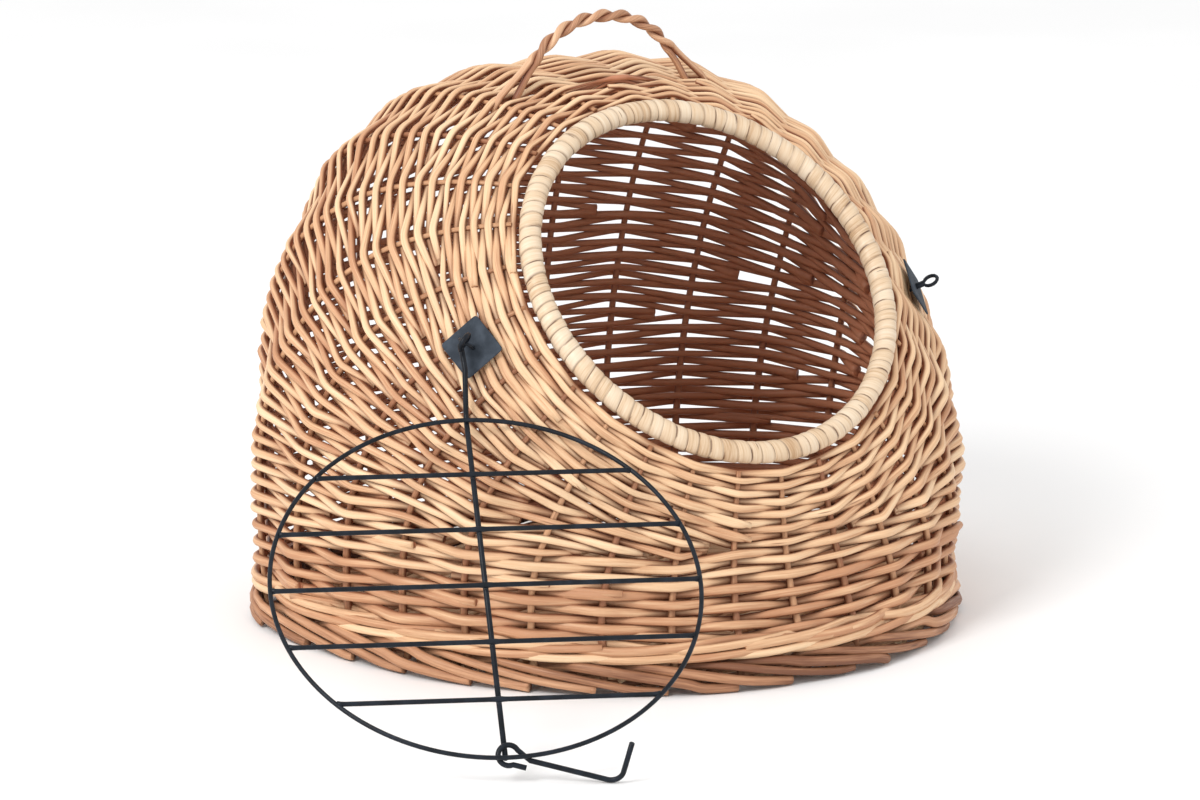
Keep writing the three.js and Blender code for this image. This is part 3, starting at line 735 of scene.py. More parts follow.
@dataclass(frozen=True)
class WallShape:
    """Outer skin of the basket, the same surface as the CAD wall.

    A blunt oval plan stands under a dome. The wall is swept by a plane that turns about
    a line in front of the basket and is drawn in towards the round mouth.
    """

    half_width: float = 247.0
    front_reach: float = 300.0
    back_reach: float = 130.0
    dome_height: float = 372.0
    plan_power: float = 2.12
    dome_power: float = 2.87
    foot_tuck: float = 0.031
    tuck_height: float = 150.0
    back_lean: float = 0.035
    mouth_tilt: float = math.radians(39.85)
    mouth_y: float = -89.4
    mouth_z: float = 250.3
    hoop_radius: float = 131.0
    skin_at_mouth: float = 144.8
    wall_bottom: float = 28.6
    draw_in_base: float = 60.0
    draw_in_share: float = 2.0
    solve_steps: int = 40

    @property
    def out_of_mouth(self) -> Array:
        """Direction square to the mouth, away from the cabin."""
        return np.array([0.0, -math.cos(self.mouth_tilt), math.sin(self.mouth_tilt)])

    @property
    def up_the_mouth(self) -> Array:
        """Direction up the slope of the mouth."""
        return np.array([0.0, math.sin(self.mouth_tilt), math.cos(self.mouth_tilt)])

    @property
    def mouth_centre(self) -> Array:
        """Middle of the mouth."""
        return np.array([0.0, self.mouth_y, self.mouth_z])

    @property
    def sweep_line(self) -> Array:
        """A point of the line that the sweeping plane turns about."""
        run = (self.mouth_z - self.wall_bottom) * math.tan(self.mouth_tilt)
        return np.array([0.0, self.mouth_y - run, self.wall_bottom])

    @property
    def sweep_angle(self) -> float:
        """Angle between the wall's bottom plane and the plane of the mouth."""
        return math.pi / 2 - self.mouth_tilt

    def middle_at(self, climb: Array) -> Array:
        """Returns how far the sweep's centre lies from the line at each climb."""
        end = float(np.linalg.norm(self.mouth_centre - self.sweep_line))
        return blend_between(-self.sweep_line[1], end, climb)

    def dome_measure(self, points: Array) -> Array:
        """Measures points against the dome.

        The value is the plan's superellipse distance, over the dome's share of its full
        width at that height and over the tuck of the foot.

        Args:
            points: Places, shape (..., 3).

        Returns:
            1 on the dome, less inside it.
        """
        x, y, z = points[..., 0], points[..., 1], points[..., 2]
        height = np.clip(z / self.dome_height, 0, 1)
        dome = np.maximum(1 - height**self.dome_power, 1e-9) ** (1 / self.dome_power)
        tuck = 1 - self.foot_tuck * np.maximum(1 - z / self.tuck_height, 0) ** 2
        station = (self.front_reach - self.back_reach) / 2 * (1 - self.foot_tuck)
        y = y - station - self.back_lean * z
        reach = np.where(y < 0, self.front_reach, self.back_reach)
        plan = (np.abs(x) / self.half_width) ** self.plan_power
        plan = plan + (np.abs(y) / reach) ** self.plan_power
        return plan ** (1 / self.plan_power) / (dome * tuck)

    def dome_reach(self, centre: Array, direction: Array) -> Array:
        """Measures how far the dome lies from a centre, by halving an interval.

        Args:
            centre: Places inside the dome, shape (..., 3).
            direction: Directions of length 1, shape (..., 3).

        Returns:
            The distances.
        """
        low = np.zeros(np.broadcast_shapes(centre.shape, direction.shape)[:-1])
        high = np.full_like(low, 2 * (self.half_width + self.front_reach))
        for _ in range(self.solve_steps):
            middle = (low + high) / 2
            inside = self.dome_measure(centre + direction * middle[..., None]) < 1
            low = np.where(inside, middle, low)
            high = np.where(inside, high, middle)
        return low

    def skin(self, turn: Array, climb: Array) -> Array:
        """Finds points of the skin.

        In the plane at this climb the point lies on a spoke at this turn, as far out as
        the dome, less the part of the dome's excess over the mouth that is drawn in.

        Args:
            turn: Turns round the basket.
            climb: Climbs up the wall, 0 to 1.

        Returns:
            The points, shape (..., 3).
        """
        turn, climb = np.broadcast_arrays(turn, climb)
        angle = self.sweep_angle * climb
        zero = np.zeros_like(angle)
        inward = np.stack([zero, np.cos(angle), np.sin(angle)], -1)
        middle = self.middle_at(climb)
        centre = self.sweep_line + middle[..., None] * inward
        cosine, sine = np.cos(turn)[..., None], np.sin(turn)[..., None]
        spoke = cosine * ACROSS + sine * inward
        mouth_spoke = cosine * ACROSS + sine * self.up_the_mouth
        excess = self.dome_reach(self.mouth_centre, mouth_spoke) - self.skin_at_mouth
        reach = self.dome_reach(centre, spoke)
        from_line = middle + reach * np.sin(turn)
        behind = from_line * np.sin(self.sweep_angle - angle)
        length = self.draw_in_base + self.draw_in_share * np.abs(excess)
        draw = climb * (2 - climb) * excess * np.maximum(1 - behind / length, 0) ** 2
        return centre + spoke * (reach - draw)[..., None]

    def normal(self, turn: Array, climb: Array) -> Array:
        """Finds the skin's outward direction from differences of the skin.

        Args:
            turn: Turns round the basket.
            climb: Climbs up the wall, 0 to 1.

        Returns:
            Directions of length 1, shape (..., 3).
        """
        small = 0.01
        low, high = np.maximum(climb - small, 0), np.minimum(climb + small, 1)
        around = self.skin(turn + small, climb) - self.skin(turn - small, climb)
        return unit(np.cross(around, self.skin(turn, high) - self.skin(turn, low)))

    def foot(self, turn: Array, height: Array, out: Array) -> Array:
        """Finds points of the upright foot.

        Args:
            turn: Turns round the basket.
            height: Heights above the ground.
            out: How far the points lie beyond the skin.

        Returns:
            The points, shape (..., 3).
        """
        turn, height, out = np.broadcast_arrays(turn, height, out)
        centre = height[..., None] * UP
        spoke = spoke_at(turn)
        return centre + spoke * (self.dome_reach(centre, spoke) + out)[..., None]

    def is_inside(self, point: Array) -> bool:
        """Tells whether a point lies inside the skin, in its own sweep plane.

        Args:
            point: The place, shape (3,).

        Returns:
            True inside the skin.
        """
        from_line = point - self.sweep_line
        climb = math.atan2(from_line[2], from_line[1]) / self.sweep_angle
        middle = self.middle_at(climb)
        along = math.hypot(from_line[1], from_line[2]) - middle
        skin = self.skin(math.atan2(along, point[0]), climb) - self.sweep_line
        skin_along = math.hypot(skin[1], skin[2]) - middle
        return math.hypot(point[0], along) < math.hypot(skin[0], skin_along)

    def top_at(self, x: float, y: float) -> Array:
        """Finds the skin's point above a place in plan, by halving an interval.

        Args:
            x: Place across the basket.
            y: Place from its front to its back.

        Returns:
            The point, shape (3,).
        """
        low, high = self.wall_bottom, 2 * self.dome_height
        for _ in range(self.solve_steps):
            height = (low + high) / 2
            if self.is_inside(np.array([x, y, height])):
                low = height
            else:
                high = height
        return np.array([x, y, low])


# ---------------------------------------------------------------- woven work


@dataclass
class WovenWall:
    """Randed wall: weavers that pass in front of one stake and behind the next.

    Rows near the foot and near the rim go all the way round. Between them pairs of rows
    are packed in, which end behind a stake where the wall has no more height.
    """

    shape: WallShape
    plates: Array
    stakes: int = 28
    stake_radius: float = 2.8
    stake_tip: float = 1.7
    middle_depth: float = 6.4
    row_pitch: float = 5.15
    base_rows: int = 8
    base_share: float = 1.16
    rim_rows: int = 11
    rim_share: float = 0.9
    butt_radius: float = 3.1
    tip_radius: float = 2.5
    base_radius: float = 3.3
    kink: float = 0.15
    press: float = 0.6
    press_at_rim: float = 1.3
    foot_gap: float = 7.0
    edge_gap: float = 0.4
    tail: float = 0.45
    rod_reach: int = 19
    plate_reach: float = 30.0
    plate_dent: float = 2.4
    swell_sides: tuple = ((0, 25, 58, 90, 122, 180), (1.0, 3.0, 6.5, 4.0, 3.2, 1.0))
    swell_climbs: tuple = ((0.0, 0.2, 0.45, 0.8, 1.0), (0.0, 0.1, 1.0, 1.0, 0.0))
    girths: tuple = ((0, 60, 100, 140, 180), (1.02, 1.15, 1.13, 0.92, 0.82))
    gap_shade: float = 0.4
    # How much darker the lowest row's rods are.
    foot_darkening: float = 0.35
    foot_stoutness: tuple = (1.06, 0.92)
    rim_slimness: float = 0.9
    ragged: float = 1.6
    tucked_end: float = -0.8
    wobble: float = 0.46
    rod_sizes: tuple = (0.84, 1.12)
    uneven: float = 0.03
    butt_drop: float = 0.35
    tip_lift: float = 0.8
    butt_run: float = 0.22
    tip_run: float = 0.25
    tip_taper: float = 0.85
    tones: tuple = (0.45, 0.22)
    stake_foot: tuple = (9.0, 15.0, 22.0)
    stake_samples: int = 28
    stake_short: float = 1.0
    seed: int = 11
    table_steps: int = 160

    def swell(self, turn: Array, climb: Array, points: Array) -> Array:
        """Measures how far hand work bulges out, less where a plate is drawn in.

        The bulge is a value for the degrees from the front times a share for the
        climb. Near a plate, by exp(-(distance / plate_reach) ** 2), it gives way to
        a dent.

        Args:
            turn: Turns of the points.
            climb: Climbs of the points.
            points: The points on the skin.

        Returns:
            Distance beyond the skin, negative in a dent.
        """
        from_front = np.degrees(np.abs(np.angle(np.exp(1j * (turn + math.pi / 2)))))
        bulge = np.interp(from_front, *self.swell_sides)
        bulge = bulge * np.interp(climb, *self.swell_climbs)
        away = np.linalg.norm(points[..., None, :] - self.plates, axis=-1).min(-1)
        near = np.exp(-(away / self.plate_reach) ** 2)
        return bulge * (1 - near) - self.plate_dent * near

    def prepare(self) -> None:
        """Measures the wall's middle surface along every stake."""
        climb = np.linspace(0, 1, self.table_steps + 1)[None, :]
        turn = turn_at(np.arange(self.stakes), self.stakes)[:, None]
        self.normals = self.shape.normal(turn, climb)
        skin = self.shape.skin(turn, climb)
        out = self.swell(turn, climb, skin) - self.middle_depth
        self.middle = skin + out[..., None] * self.normals
        steps = np.linalg.norm(np.diff(self.middle, axis=1), axis=2)
        self.heights = np.concatenate([np.zeros((self.stakes, 1)), np.cumsum(steps, 1)], 1)
        self.length = self.heights[:, -1] - self.edge_gap

    def at(self, stake: Array, height: Array) -> tuple[Array, Array]:
        """Reads the wall's middle surface at heights up the stakes.

        Args:
            stake: Stake numbers, which may run past the last stake.
            height: Height up each of them, along the wall.

        Returns:
            Middle points and outward directions, both of shape (n, 3).
        """
        stake = stake % self.stakes
        table = np.concatenate([self.middle, self.normals], 2)
        found = np.empty((len(stake), table.shape[2]))
        for i in np.unique(stake):
            here = stake == i
            for column in range(table.shape[2]):
                values = table[i, :, column]
                found[here, column] = np.interp(height[here], self.heights[i], values)
        return found[:, :3], unit(found[:, 3:])

    def layout(self, rng: np.random.Generator) -> tuple[Array, Array, int]:
        """Shares the height of every stake among the rows.

        Pairs of packed rows are ranked by reversing the bits of their numbers, so that
        the pairs that reach furthest forward are spread evenly, and a pair is there
        where the stake is long enough for its rank. Heights are running sums of shares.

        Args:
            rng: Source of the ragged ends.

        Returns:
            Row heights, shape (rows, stakes), presence of each pair, and their number.
        """
        full = self.base_rows * self.base_share + self.rim_rows * self.rim_share
        room = (self.length - self.foot_gap) / self.row_pitch - full
        pairs = int(room.max() // 2)
        bits = max(pairs - 1, 1).bit_length()
        reversed_bits = [int(format(k, f"0{bits}b")[::-1], 2) for k in range(pairs)]
        rank = np.argsort(np.argsort(reversed_bits))
        side = np.where(np.arange(self.stakes) < self.stakes / 2, 0, 1)
        jitter = rng.uniform(-self.ragged, self.ragged, (pairs, 2))[:, side]
        need = 2 * rank[:, None] + 1.0
        here = room[None, :] + jitter * (need > 3) > need
        here[:, 0] = here[:, 1] & here[:, -1] & (room[0] > need[:, 0])
        for pair in range(pairs):
            present = np.flatnonzero(here[pair])
            if len(present) < 3:
                here[pair] = False
            else:
                here[pair, present.min():present.max() + 1] = True
        share = np.concatenate([
            np.full((self.base_rows, self.stakes), self.base_share),
            np.repeat(here.astype(float), 2, axis=0),
            np.full((self.rim_rows, self.stakes), self.rim_share),
        ])
        share = np.maximum(share, 1e-3)
        pitch = (self.length - self.foot_gap) / share.sum(0)
        heights = self.foot_gap + pitch * (np.cumsum(share, 0) - share / 2)
        return heights, here, pairs

    def stake_radius_at(self, climbed: Array) -> Array:
        """Returns a stake's radius at a share of its height."""
        return blend_between(self.stake_radius, self.stake_tip, climbed)

    def girth_at(self, stake: Array) -> Array:
        """Returns how stout the rods are at each stake, against their usual size."""
        from_front = 360 * np.abs((stake / self.stakes + 0.5) % 1 - 0.5)
        return np.interp(from_front, *self.girths)

    def weave(self, path: Array, side: Array, numbers: Array) -> tuple[Array, Array]:
        """Turns nodes at stakes into a rod's path with kinks round the stakes.

        Each node is cut off by a parabola between the points a share kink away on its
        two legs, and the rod runs straight from one node's cut to the next one's.

        Args:
            path: Nodes of the rod, shape (n, 3), the first and last only ends.
            side: Outward directions at the nodes.
            numbers: Numbers carried along the nodes, such as radii, shape (n, k).

        Returns:
            Path points and an array of outward directions and numbers.
        """
        values = np.hstack([path, side, numbers])
        before = values[1:-1] + self.kink * (values[:-2] - values[1:-1])
        after = values[1:-1] + self.kink * (values[2:] - values[1:-1])
        t = np.array([0.0, 0.25, 0.5, 0.75, 1.0])[None, :, None]
        curve = (
            (1 - t) ** 2 * before[:, None] + 2 * t * (1 - t) * values[1:-1, None]
            + t**2 * after[:, None]
        )
        full = np.vstack([values[:1], curve.reshape(-1, values.shape[1]), values[-1:]])
        return full[:, :3], full[:, 3:]

    def add_row(
        self,
        bundle: Bundle,
        stake: Array,
        heights: Array,
        side: Array,
        radii: tuple[float, float],
        closed: bool,
        rng: np.random.Generator,
        darkening: float = 0.0,
    ) -> None:
        """Weaves one row, all the way round or with two ends, out of single rods.

        Args:
            bundle: Where the rods go.
            stake: Stake number of each node in order along the row, may be fractional.
            heights: Height of this row up each stake.
            side: 1 outside the stake, -1 inside it.
            radii: Radius of a rod at its butt and at its tip.
            closed: Whether the row goes all the way round.
            rng: Source of the small differences.
            darkening: How much deeper the row's rods are in colour than the usual ones.
        """
        count = len(stake)
        rods = max(1, round(count / self.rod_reach))
        if closed:
            marks = np.linspace(0, count, rods + 1).astype(int) + int(rng.integers(count))
            marks = marks + (side[marks % count] > 0)
            marks[-1] = marks[0] + count
        else:
            marks = np.linspace(0, count - 1, rods + 1).astype(int)
        low, high = np.floor(stake).astype(int), np.ceil(stake).astype(int)
        part = (stake - low)[:, None]
        points_low, normals_low = self.at(low, heights[low % self.stakes])
        points_high, normals_high = self.at(high, heights[high % self.stakes])
        points = points_low * (1 - part) + points_high * part
        normals = unit(normals_low * (1 - part) + normals_high * part)
        nearest = np.round(stake).astype(int) % self.stakes
        climbed = heights[nearest] / self.length[nearest]
        touch = self.stake_radius_at(climbed) + 0.5 * (radii[0] + radii[1])
        touch = touch - blend_between(self.press, self.press_at_rim, climbed)
        amplitude = touch / (1 - self.kink)
        wobble = rng.normal(0, self.wobble, (count, 2))
        for first, last in zip(marks[:-1], marks[1:]):
            index = np.arange(first, last + 2 if closed else min(last + 2, count)) % count
            reach = len(index)
            butt, tip = np.array(radii) * rng.uniform(*self.rod_sizes)
            radius = blend_between(butt, tip, np.linspace(0, 1, reach))
            radius = radius * rng.normal(1, self.uneven, reach)
            offset = amplitude[index] * side[index] + wobble[index, 0]
            lift = wobble[index, 1].copy()
            if closed or first > 0:
                lift[:1] -= self.butt_drop * butt
            if closed or last < count - 1:
                lift[-2:] += self.tip_lift * tip
            up = np.cross(normals[index], np.gradient(points[index], axis=0))
            nodes = points[index] + offset[:, None] * normals[index] + lift[:, None] * unit(up)
            butt_end = nodes[0] + self.butt_run * (points[index[0]] - points[index[1]])
            tip_end = nodes[-1] + self.tip_run * (points[index[-1]] - points[index[-2]])
            nodes = np.vstack([butt_end, nodes, tip_end])
            outward = np.vstack([normals[index[:1]], normals[index], normals[index[-1:]]])
            girth = self.girth_at(stake[index])
            numbers = np.stack([
                np.r_[butt, radius, tip * self.tip_taper] * np.r_[girth[0], girth, girth[-1]],
                np.r_[side[index[0]], side[index], side[index[-1]]],
            ], 1)
            path, rest = self.weave(nodes, outward, numbers)
            # Painted shade where the rod passes inside a stake, behind the others.
            depth = self.gap_shade * (1 - np.clip(rest[:, 4], -1, 1)) / 2
            tone = float(np.clip(rng.normal(*self.tones) + darkening, 0, 1))
            bundle.add_tube(path, rest[:, 3], rest[:, :3], tone, shaded=1.0, depth=depth)

    def build(self) -> dict[str, Bundle]:
        """Weaves the wall and returns its bundles: foot rows, packed rows and rim rows."""
        rng = np.random.default_rng(self.seed)
        self.prepare()
        heights, here, pairs = self.layout(rng)
        stakes = np.arange(self.stakes)
        bundles = {name: Bundle() for name in ("low", "packed_left", "packed_right", "high")}
        for row in range(self.base_rows):
            side = plain_weave(stakes, row)
            thin = row / self.base_rows
            radii = tuple(
                blend_between(self.base_radius, usual, thin) * stout
                for usual, stout in zip((self.butt_radius, self.tip_radius), self.foot_stoutness)
            )
            # Rows are darker towards the foot, the lowest most.
            darkening = self.foot_darkening * (1 - thin)
            self.add_row(bundles["low"], stakes, heights[row], side, radii, True, rng, darkening)
        radii = (self.butt_radius, self.tip_radius)
        for pair in range(pairs):
            present = np.flatnonzero(here[pair])
            if not len(present):
                continue
            name = "packed_left" if pair % 2 == 0 else "packed_right"
            for row in (self.base_rows + 2 * pair, self.base_rows + 2 * pair + 1):
                if len(present) == self.stakes:
                    side = plain_weave(stakes, row)
                    self.add_row(bundles[name], stakes, heights[row], side, radii, True, rng)
                    continue
                out = np.arange(present.min(), present.max() + 1)
                stake = np.r_[out[0] - self.tail, out, out[-1] + self.tail]
                side = np.r_[self.tucked_end, plain_weave(out, row), self.tucked_end]
                self.add_row(bundles[name], stake, heights[row], side, radii, False, rng)
        first = self.base_rows + 2 * pairs
        radii = (self.butt_radius * self.rim_slimness, self.tip_radius * self.rim_slimness)
        for row in range(first, first + self.rim_rows):
            side = plain_weave(stakes, row)
            self.add_row(bundles["high"], stakes, heights[row], side, radii, True, rng)
        return bundles

    def uprights(self) -> Bundle:
        """Builds the stakes, from the foot border up the wall's middle to the rim."""
        rng = np.random.default_rng(self.seed + 1)
        bundle = Bundle()
        feet = np.array(self.stake_foot)
        for i in range(self.stakes):
            height = np.linspace(0, self.length[i] - self.stake_short, self.stake_samples)
            points, normals = self.at(np.full(self.stake_samples, i), height)
            turn = np.full(len(feet), turn_at(i, self.stakes))
            path = np.vstack([self.shape.foot(turn, feet, -self.middle_depth), points])
            outward = np.vstack([spoke_at(turn), normals])
            radius = self.stake_radius_at(np.r_[0 * feet, height / self.length[i]])
            bundle.add_tube(path, radius, outward, float(rng.uniform()), shaded=1.0)
        return bundle


@dataclass
class WaledBand:
    """Three-rod waling at the foot: each rod passes two stakes outside, one inside."""

    shape: WallShape
    stakes: int = 28
    bottom: float = 22.6
    rounds: int = 2
    pitch: float = 6.2
    rod_radius: float = 3.15
    depth: float = 5.2
    out_at: tuple = (4.2, 4.6, -4.6)
    rise_at: tuple = (-1.5, 0.3, 1.4)
    knot_steps: int = 6
    uneven: float = 0.25
    taper: tuple = (1.08, 0.88)
    shaded: float = 0.9
    seed: int = 21

    def build(self) -> Bundle:
        """Lays three rods in each round, a stake apart, rising as they come out."""
        rng = np.random.default_rng(self.seed)
        bundle = Bundle()
        rods = len(self.out_at)
        node = np.arange(self.stakes + 2)
        for turn_up in range(self.rounds):
            for rod in range(rods):
                phase = (node - rod - turn_up) % rods
                out = np.array(self.out_at)[phase] - self.depth
                rise = np.array(self.rise_at)[phase]
                height = self.bottom + self.pitch * (turn_up + 0.5) + rise
                height = height + rng.normal(0, self.uneven, len(node))
                start = int(rng.integers(self.stakes))
                knots = np.stack([turn_at(node + start, self.stakes), height, out], 1)
                turn, height, out = smooth_through(knots, self.knot_steps).T
                points = self.shape.foot(turn, height, out)
                radius = self.rod_radius * np.linspace(*self.taper, len(turn))
                tone = float(rng.uniform())
                bundle.add_tube(points, radius, spoke_at(turn), tone, shaded=self.shaded)
        return bundle


@dataclass
class RolledBorder:
    """Rolled foot border: rods that rise inside, come over and slant down outside.

    The bend is a list of knots, each with its steps round, its height and how far out
    it lies.
    """

    shape: WallShape
    rods: int = 30
    radius: float = 3.3
    bend: tuple = (
        (-1.3, 5.0, -13.0),
        (-0.75, 8.0, -11.5),
        (-0.3, 13.5, -9.5),
        (0.05, 18.2, -5.0),
        (0.45, 18.8, 0.4),
        (1.15, 14.4, 3.4),
        (1.9, 8.6, 3.9),
        (2.5, 4.6, 3.0),
        (2.75, 3.8, 2.2),
    )
    knot_steps: int = 4
    uneven: tuple = (0.1, 0.5, 0.55)
    rod_sizes: tuple = (0.84, 1.12)
    knot_clearance: float = 0.35
    clearance: float = 0.3
    taper: tuple = (0.96, 1.02)
    shaded: float = 0.8
    seed: int = 31

    def build(self) -> Bundle:
        """Bends every rod through its knots, kept clear of the ground."""
        rng = np.random.default_rng(self.seed)
        bundle = Bundle()
        knots = np.array(self.bend)
        for i in range(self.rods):
            bent = knots + rng.normal(0, 1, knots.shape) * np.array(self.uneven)
            bent[:, 0] += i
            radius = self.radius * rng.uniform(*self.rod_sizes)
            bent[:, 1] = np.maximum(bent[:, 1], radius + self.knot_clearance)
            step, height, out = smooth_through(bent, self.knot_steps).T
            turn = turn_at(step, self.rods)
            points = self.shape.foot(turn, np.maximum(height, radius + self.clearance), out)
            taper = radius * np.linspace(*self.taper, len(turn))
            tone = float(rng.uniform())
            bundle.add_tube(points, taper, spoke_at(turn), tone, shaded=self.shaded)
        return bundle


@dataclass
class WovenFloor:
    """Oval floor: rods laid from side to side, over and under six sticks."""

    shape: WallShape
    sticks: int = 6
    stick_pitch: float = 62.0
    stick_radius: float = 3.4
    stick_inset: float = 26.0
    stick_steps: int = 24
    stick_shaded: float = 0.3
    height: float = 9.4
    row_pitch: float = 5.3
    rod_radius: float = 2.35
    rod_sizes: tuple = (0.95, 1.05)
    rod_shaded: float = 0.35
    knot_steps: int = 5
    inset: float = 13.5
    shortest: float = 8.0
    stick_margin: float = 6.0
    end_share: float = 0.3
    pressed: float = 0.98
    uneven: float = 0.15
    seed: int = 41

    @property
    def places(self) -> Array:
        """Where the sticks lie across the floor."""
        return (np.arange(self.sticks) - (self.sticks - 1) / 2) * self.stick_pitch

    def reach(self, x: float, y: float, direction: Array) -> float:
        """Returns how far the dome lies from a place on the ground."""
        return float(self.shape.dome_reach(np.array([x, y, 0.0]), direction))

    def build(self) -> Bundle:
        """Lays the rows, each a kinked rod cut to the floor's outline."""
        rng = np.random.default_rng(self.seed)
        bundle = Bundle()
        front, back = (self.reach(0.0, 0.0, way * BACK) - self.inset for way in (-1.0, 1.0))
        rows = int((front + back) / self.row_pitch)
        lift = self.stick_radius + self.rod_radius
        for row in range(rows):
            y = -front + (front + back) * (row + 0.5) / rows
            half = self.reach(0.0, y, ACROSS) - self.inset
            if half < self.shortest:
                continue
            inner = self.places[np.abs(self.places) < half - self.stick_margin]
            x = np.r_[-half, inner, half]
            side = plain_weave(np.arange(len(x)), row)
            if len(inner):
                side[0], side[-1] = -side[1] * self.end_share, -side[-2] * self.end_share
            z = self.height + lift * side * self.pressed
            rows_y = np.full_like(x, y) + rng.normal(0, self.uneven, len(x))
            path = smooth_through(np.stack([x, rows_y, z], 1), self.knot_steps)
            radius = self.rod_radius * rng.uniform(*self.rod_sizes)
            tone = float(rng.uniform())
            bundle.add_tube(path, radius, UP, tone, sides=6, shaded=self.rod_shaded)
        return bundle

    def build_sticks(self) -> Bundle:
        """Builds the six sticks from front to back."""
        rng = np.random.default_rng(self.seed + 1)
        bundle = Bundle()
        for x in self.places:
            ends = [
                way * (self.reach(x, 0.0, way * BACK) - self.stick_inset) for way in (-1.0, 1.0)
            ]
            y = np.linspace(*ends, self.stick_steps)
            path = np.stack([np.full_like(y, x), y, np.full_like(y, self.height)], 1)
            tone = float(rng.uniform())
            bundle.add_tube(path, self.stick_radius, UP, tone, shaded=self.stick_shaded)
        return bundle


@dataclass
class BoundRim:
    """Hoop of the mouth, bound all round with flat skein.

    The shares across a strip run from its open edge, past a band where some seams are
    widened and over its crown to the edge that the next strip laps. Seam shades are
    values of painted shade and their odds.
    """

    shape: WallShape
    strips: int = 98
    round_steps: int = 20
    tube_radius: float = 6.9
    crown: float = 0.55
    across: tuple = (0.0, 0.05, 0.14, 0.35, 0.6, 0.82, 0.95)
    widths: tuple = (0.72, 1.3)
    proud: tuple = (-0.12, 0.22)
    lap: float = 0.18
    unround: float = 0.1
    grain_pitch: float = 1.7
    tones: tuple = (0.15, 0.75)
    # The seam values below set the painted shade in the seams between strips.
    seam_shades: tuple = ((0.45, 0.8, 1.0), (0.35, 0.3, 0.35))
    lapped_shade: float = 0.6
    seam_run: tuple = (0.2, 1.1)
    widened_seam_share: float = 0.4
    widened_seam_run: tuple = (-1.1, 2.6)
    seed: int = 51

    def build(self) -> Bundle:
        """Winds the strips as one helical sheet round the hoop.

        A point lies at a share f across strip k and at an angle v round the hoop's
        tube. The strip has moved on by v / (2 pi) of its width, and the tube's radius
        is highest in the strip's middle and dips in a narrow seam at its edges.
        """
        rng = np.random.default_rng(self.seed)
        width = rng.uniform(*self.widths, self.strips)
        edges = np.r_[0.0, np.cumsum(width)] / width.sum()
        number = np.repeat(np.arange(self.strips), len(self.across))
        share = np.tile(self.across, self.strips)
        index = number + share
        v = 2 * np.pi * np.arange(self.round_steps) / self.round_steps
        place = index[:, None] - v[None, :] / (2 * np.pi)
        turn = 2 * np.pi * np.interp(
            place, np.arange(-1, self.strips + 1), np.r_[edges[-2] - 1, edges]
        )
        proud = rng.uniform(*self.proud, self.strips)[number]
        crowned = 1 - (2 * share - 1) ** 4
        raised = (proud + self.lap * share) * (crowned > 0)
        radius = (self.tube_radius + self.crown * crowned + raised)[:, None]
        radius = radius + self.unround * np.sin(3 * v + 1.7 * number[:, None])
        up, out = self.shape.up_the_mouth, self.shape.out_of_mouth
        spoke = np.cos(turn)[..., None] * ACROSS + np.sin(turn)[..., None] * up
        lean = np.cos(v)[None, :, None] * spoke + np.sin(v)[None, :, None] * out
        points = self.shape.mouth_centre + self.shape.hoop_radius * spoke + radius[..., None] * lean
        arc = np.broadcast_to(v * self.tube_radius * MM, place.shape)
        flat = np.broadcast_to(index[:, None] * self.grain_pitch, place.shape)
        grain = np.stack([arc, flat, np.zeros_like(flat)], -1)
        tone = rng.uniform(*self.tones, self.strips)[number]
        # Painted shade in the seams between strips: full at the open edge, less at the lapped one,
        # wavering along each seam.
        open_seam = rng.choice(self.seam_shades[0], self.strips, p=self.seam_shades[1])
        at_edge = (share == self.across[0]) + self.lapped_shade * (share == self.across[-1])
        at_edge = at_edge * open_seam[number]
        waver = 0.5 + 0.5 * np.sin(2 * v[None, :] + 2.3 * number[:, None])
        shade = at_edge[:, None] * np.clip(self.seam_run[0] + self.seam_run[1] * waver, 0, 1)
        # On some strips the painted seam shade is widened into the next band across.
        widened_seam = (rng.random(self.strips) < self.widened_seam_share)[number] & (share == self.across[1])
        widened_seam_shade = np.clip(self.widened_seam_run[0] + self.widened_seam_run[1] * waver, 0, 1)
        bundle = Bundle()
        bundle.add_sheet(
            points, grain, np.broadcast_to(tone[:, None], place.shape),
            shade + widened_seam[:, None] * widened_seam_shade, shift=-len(self.across),
        )
        return bundle


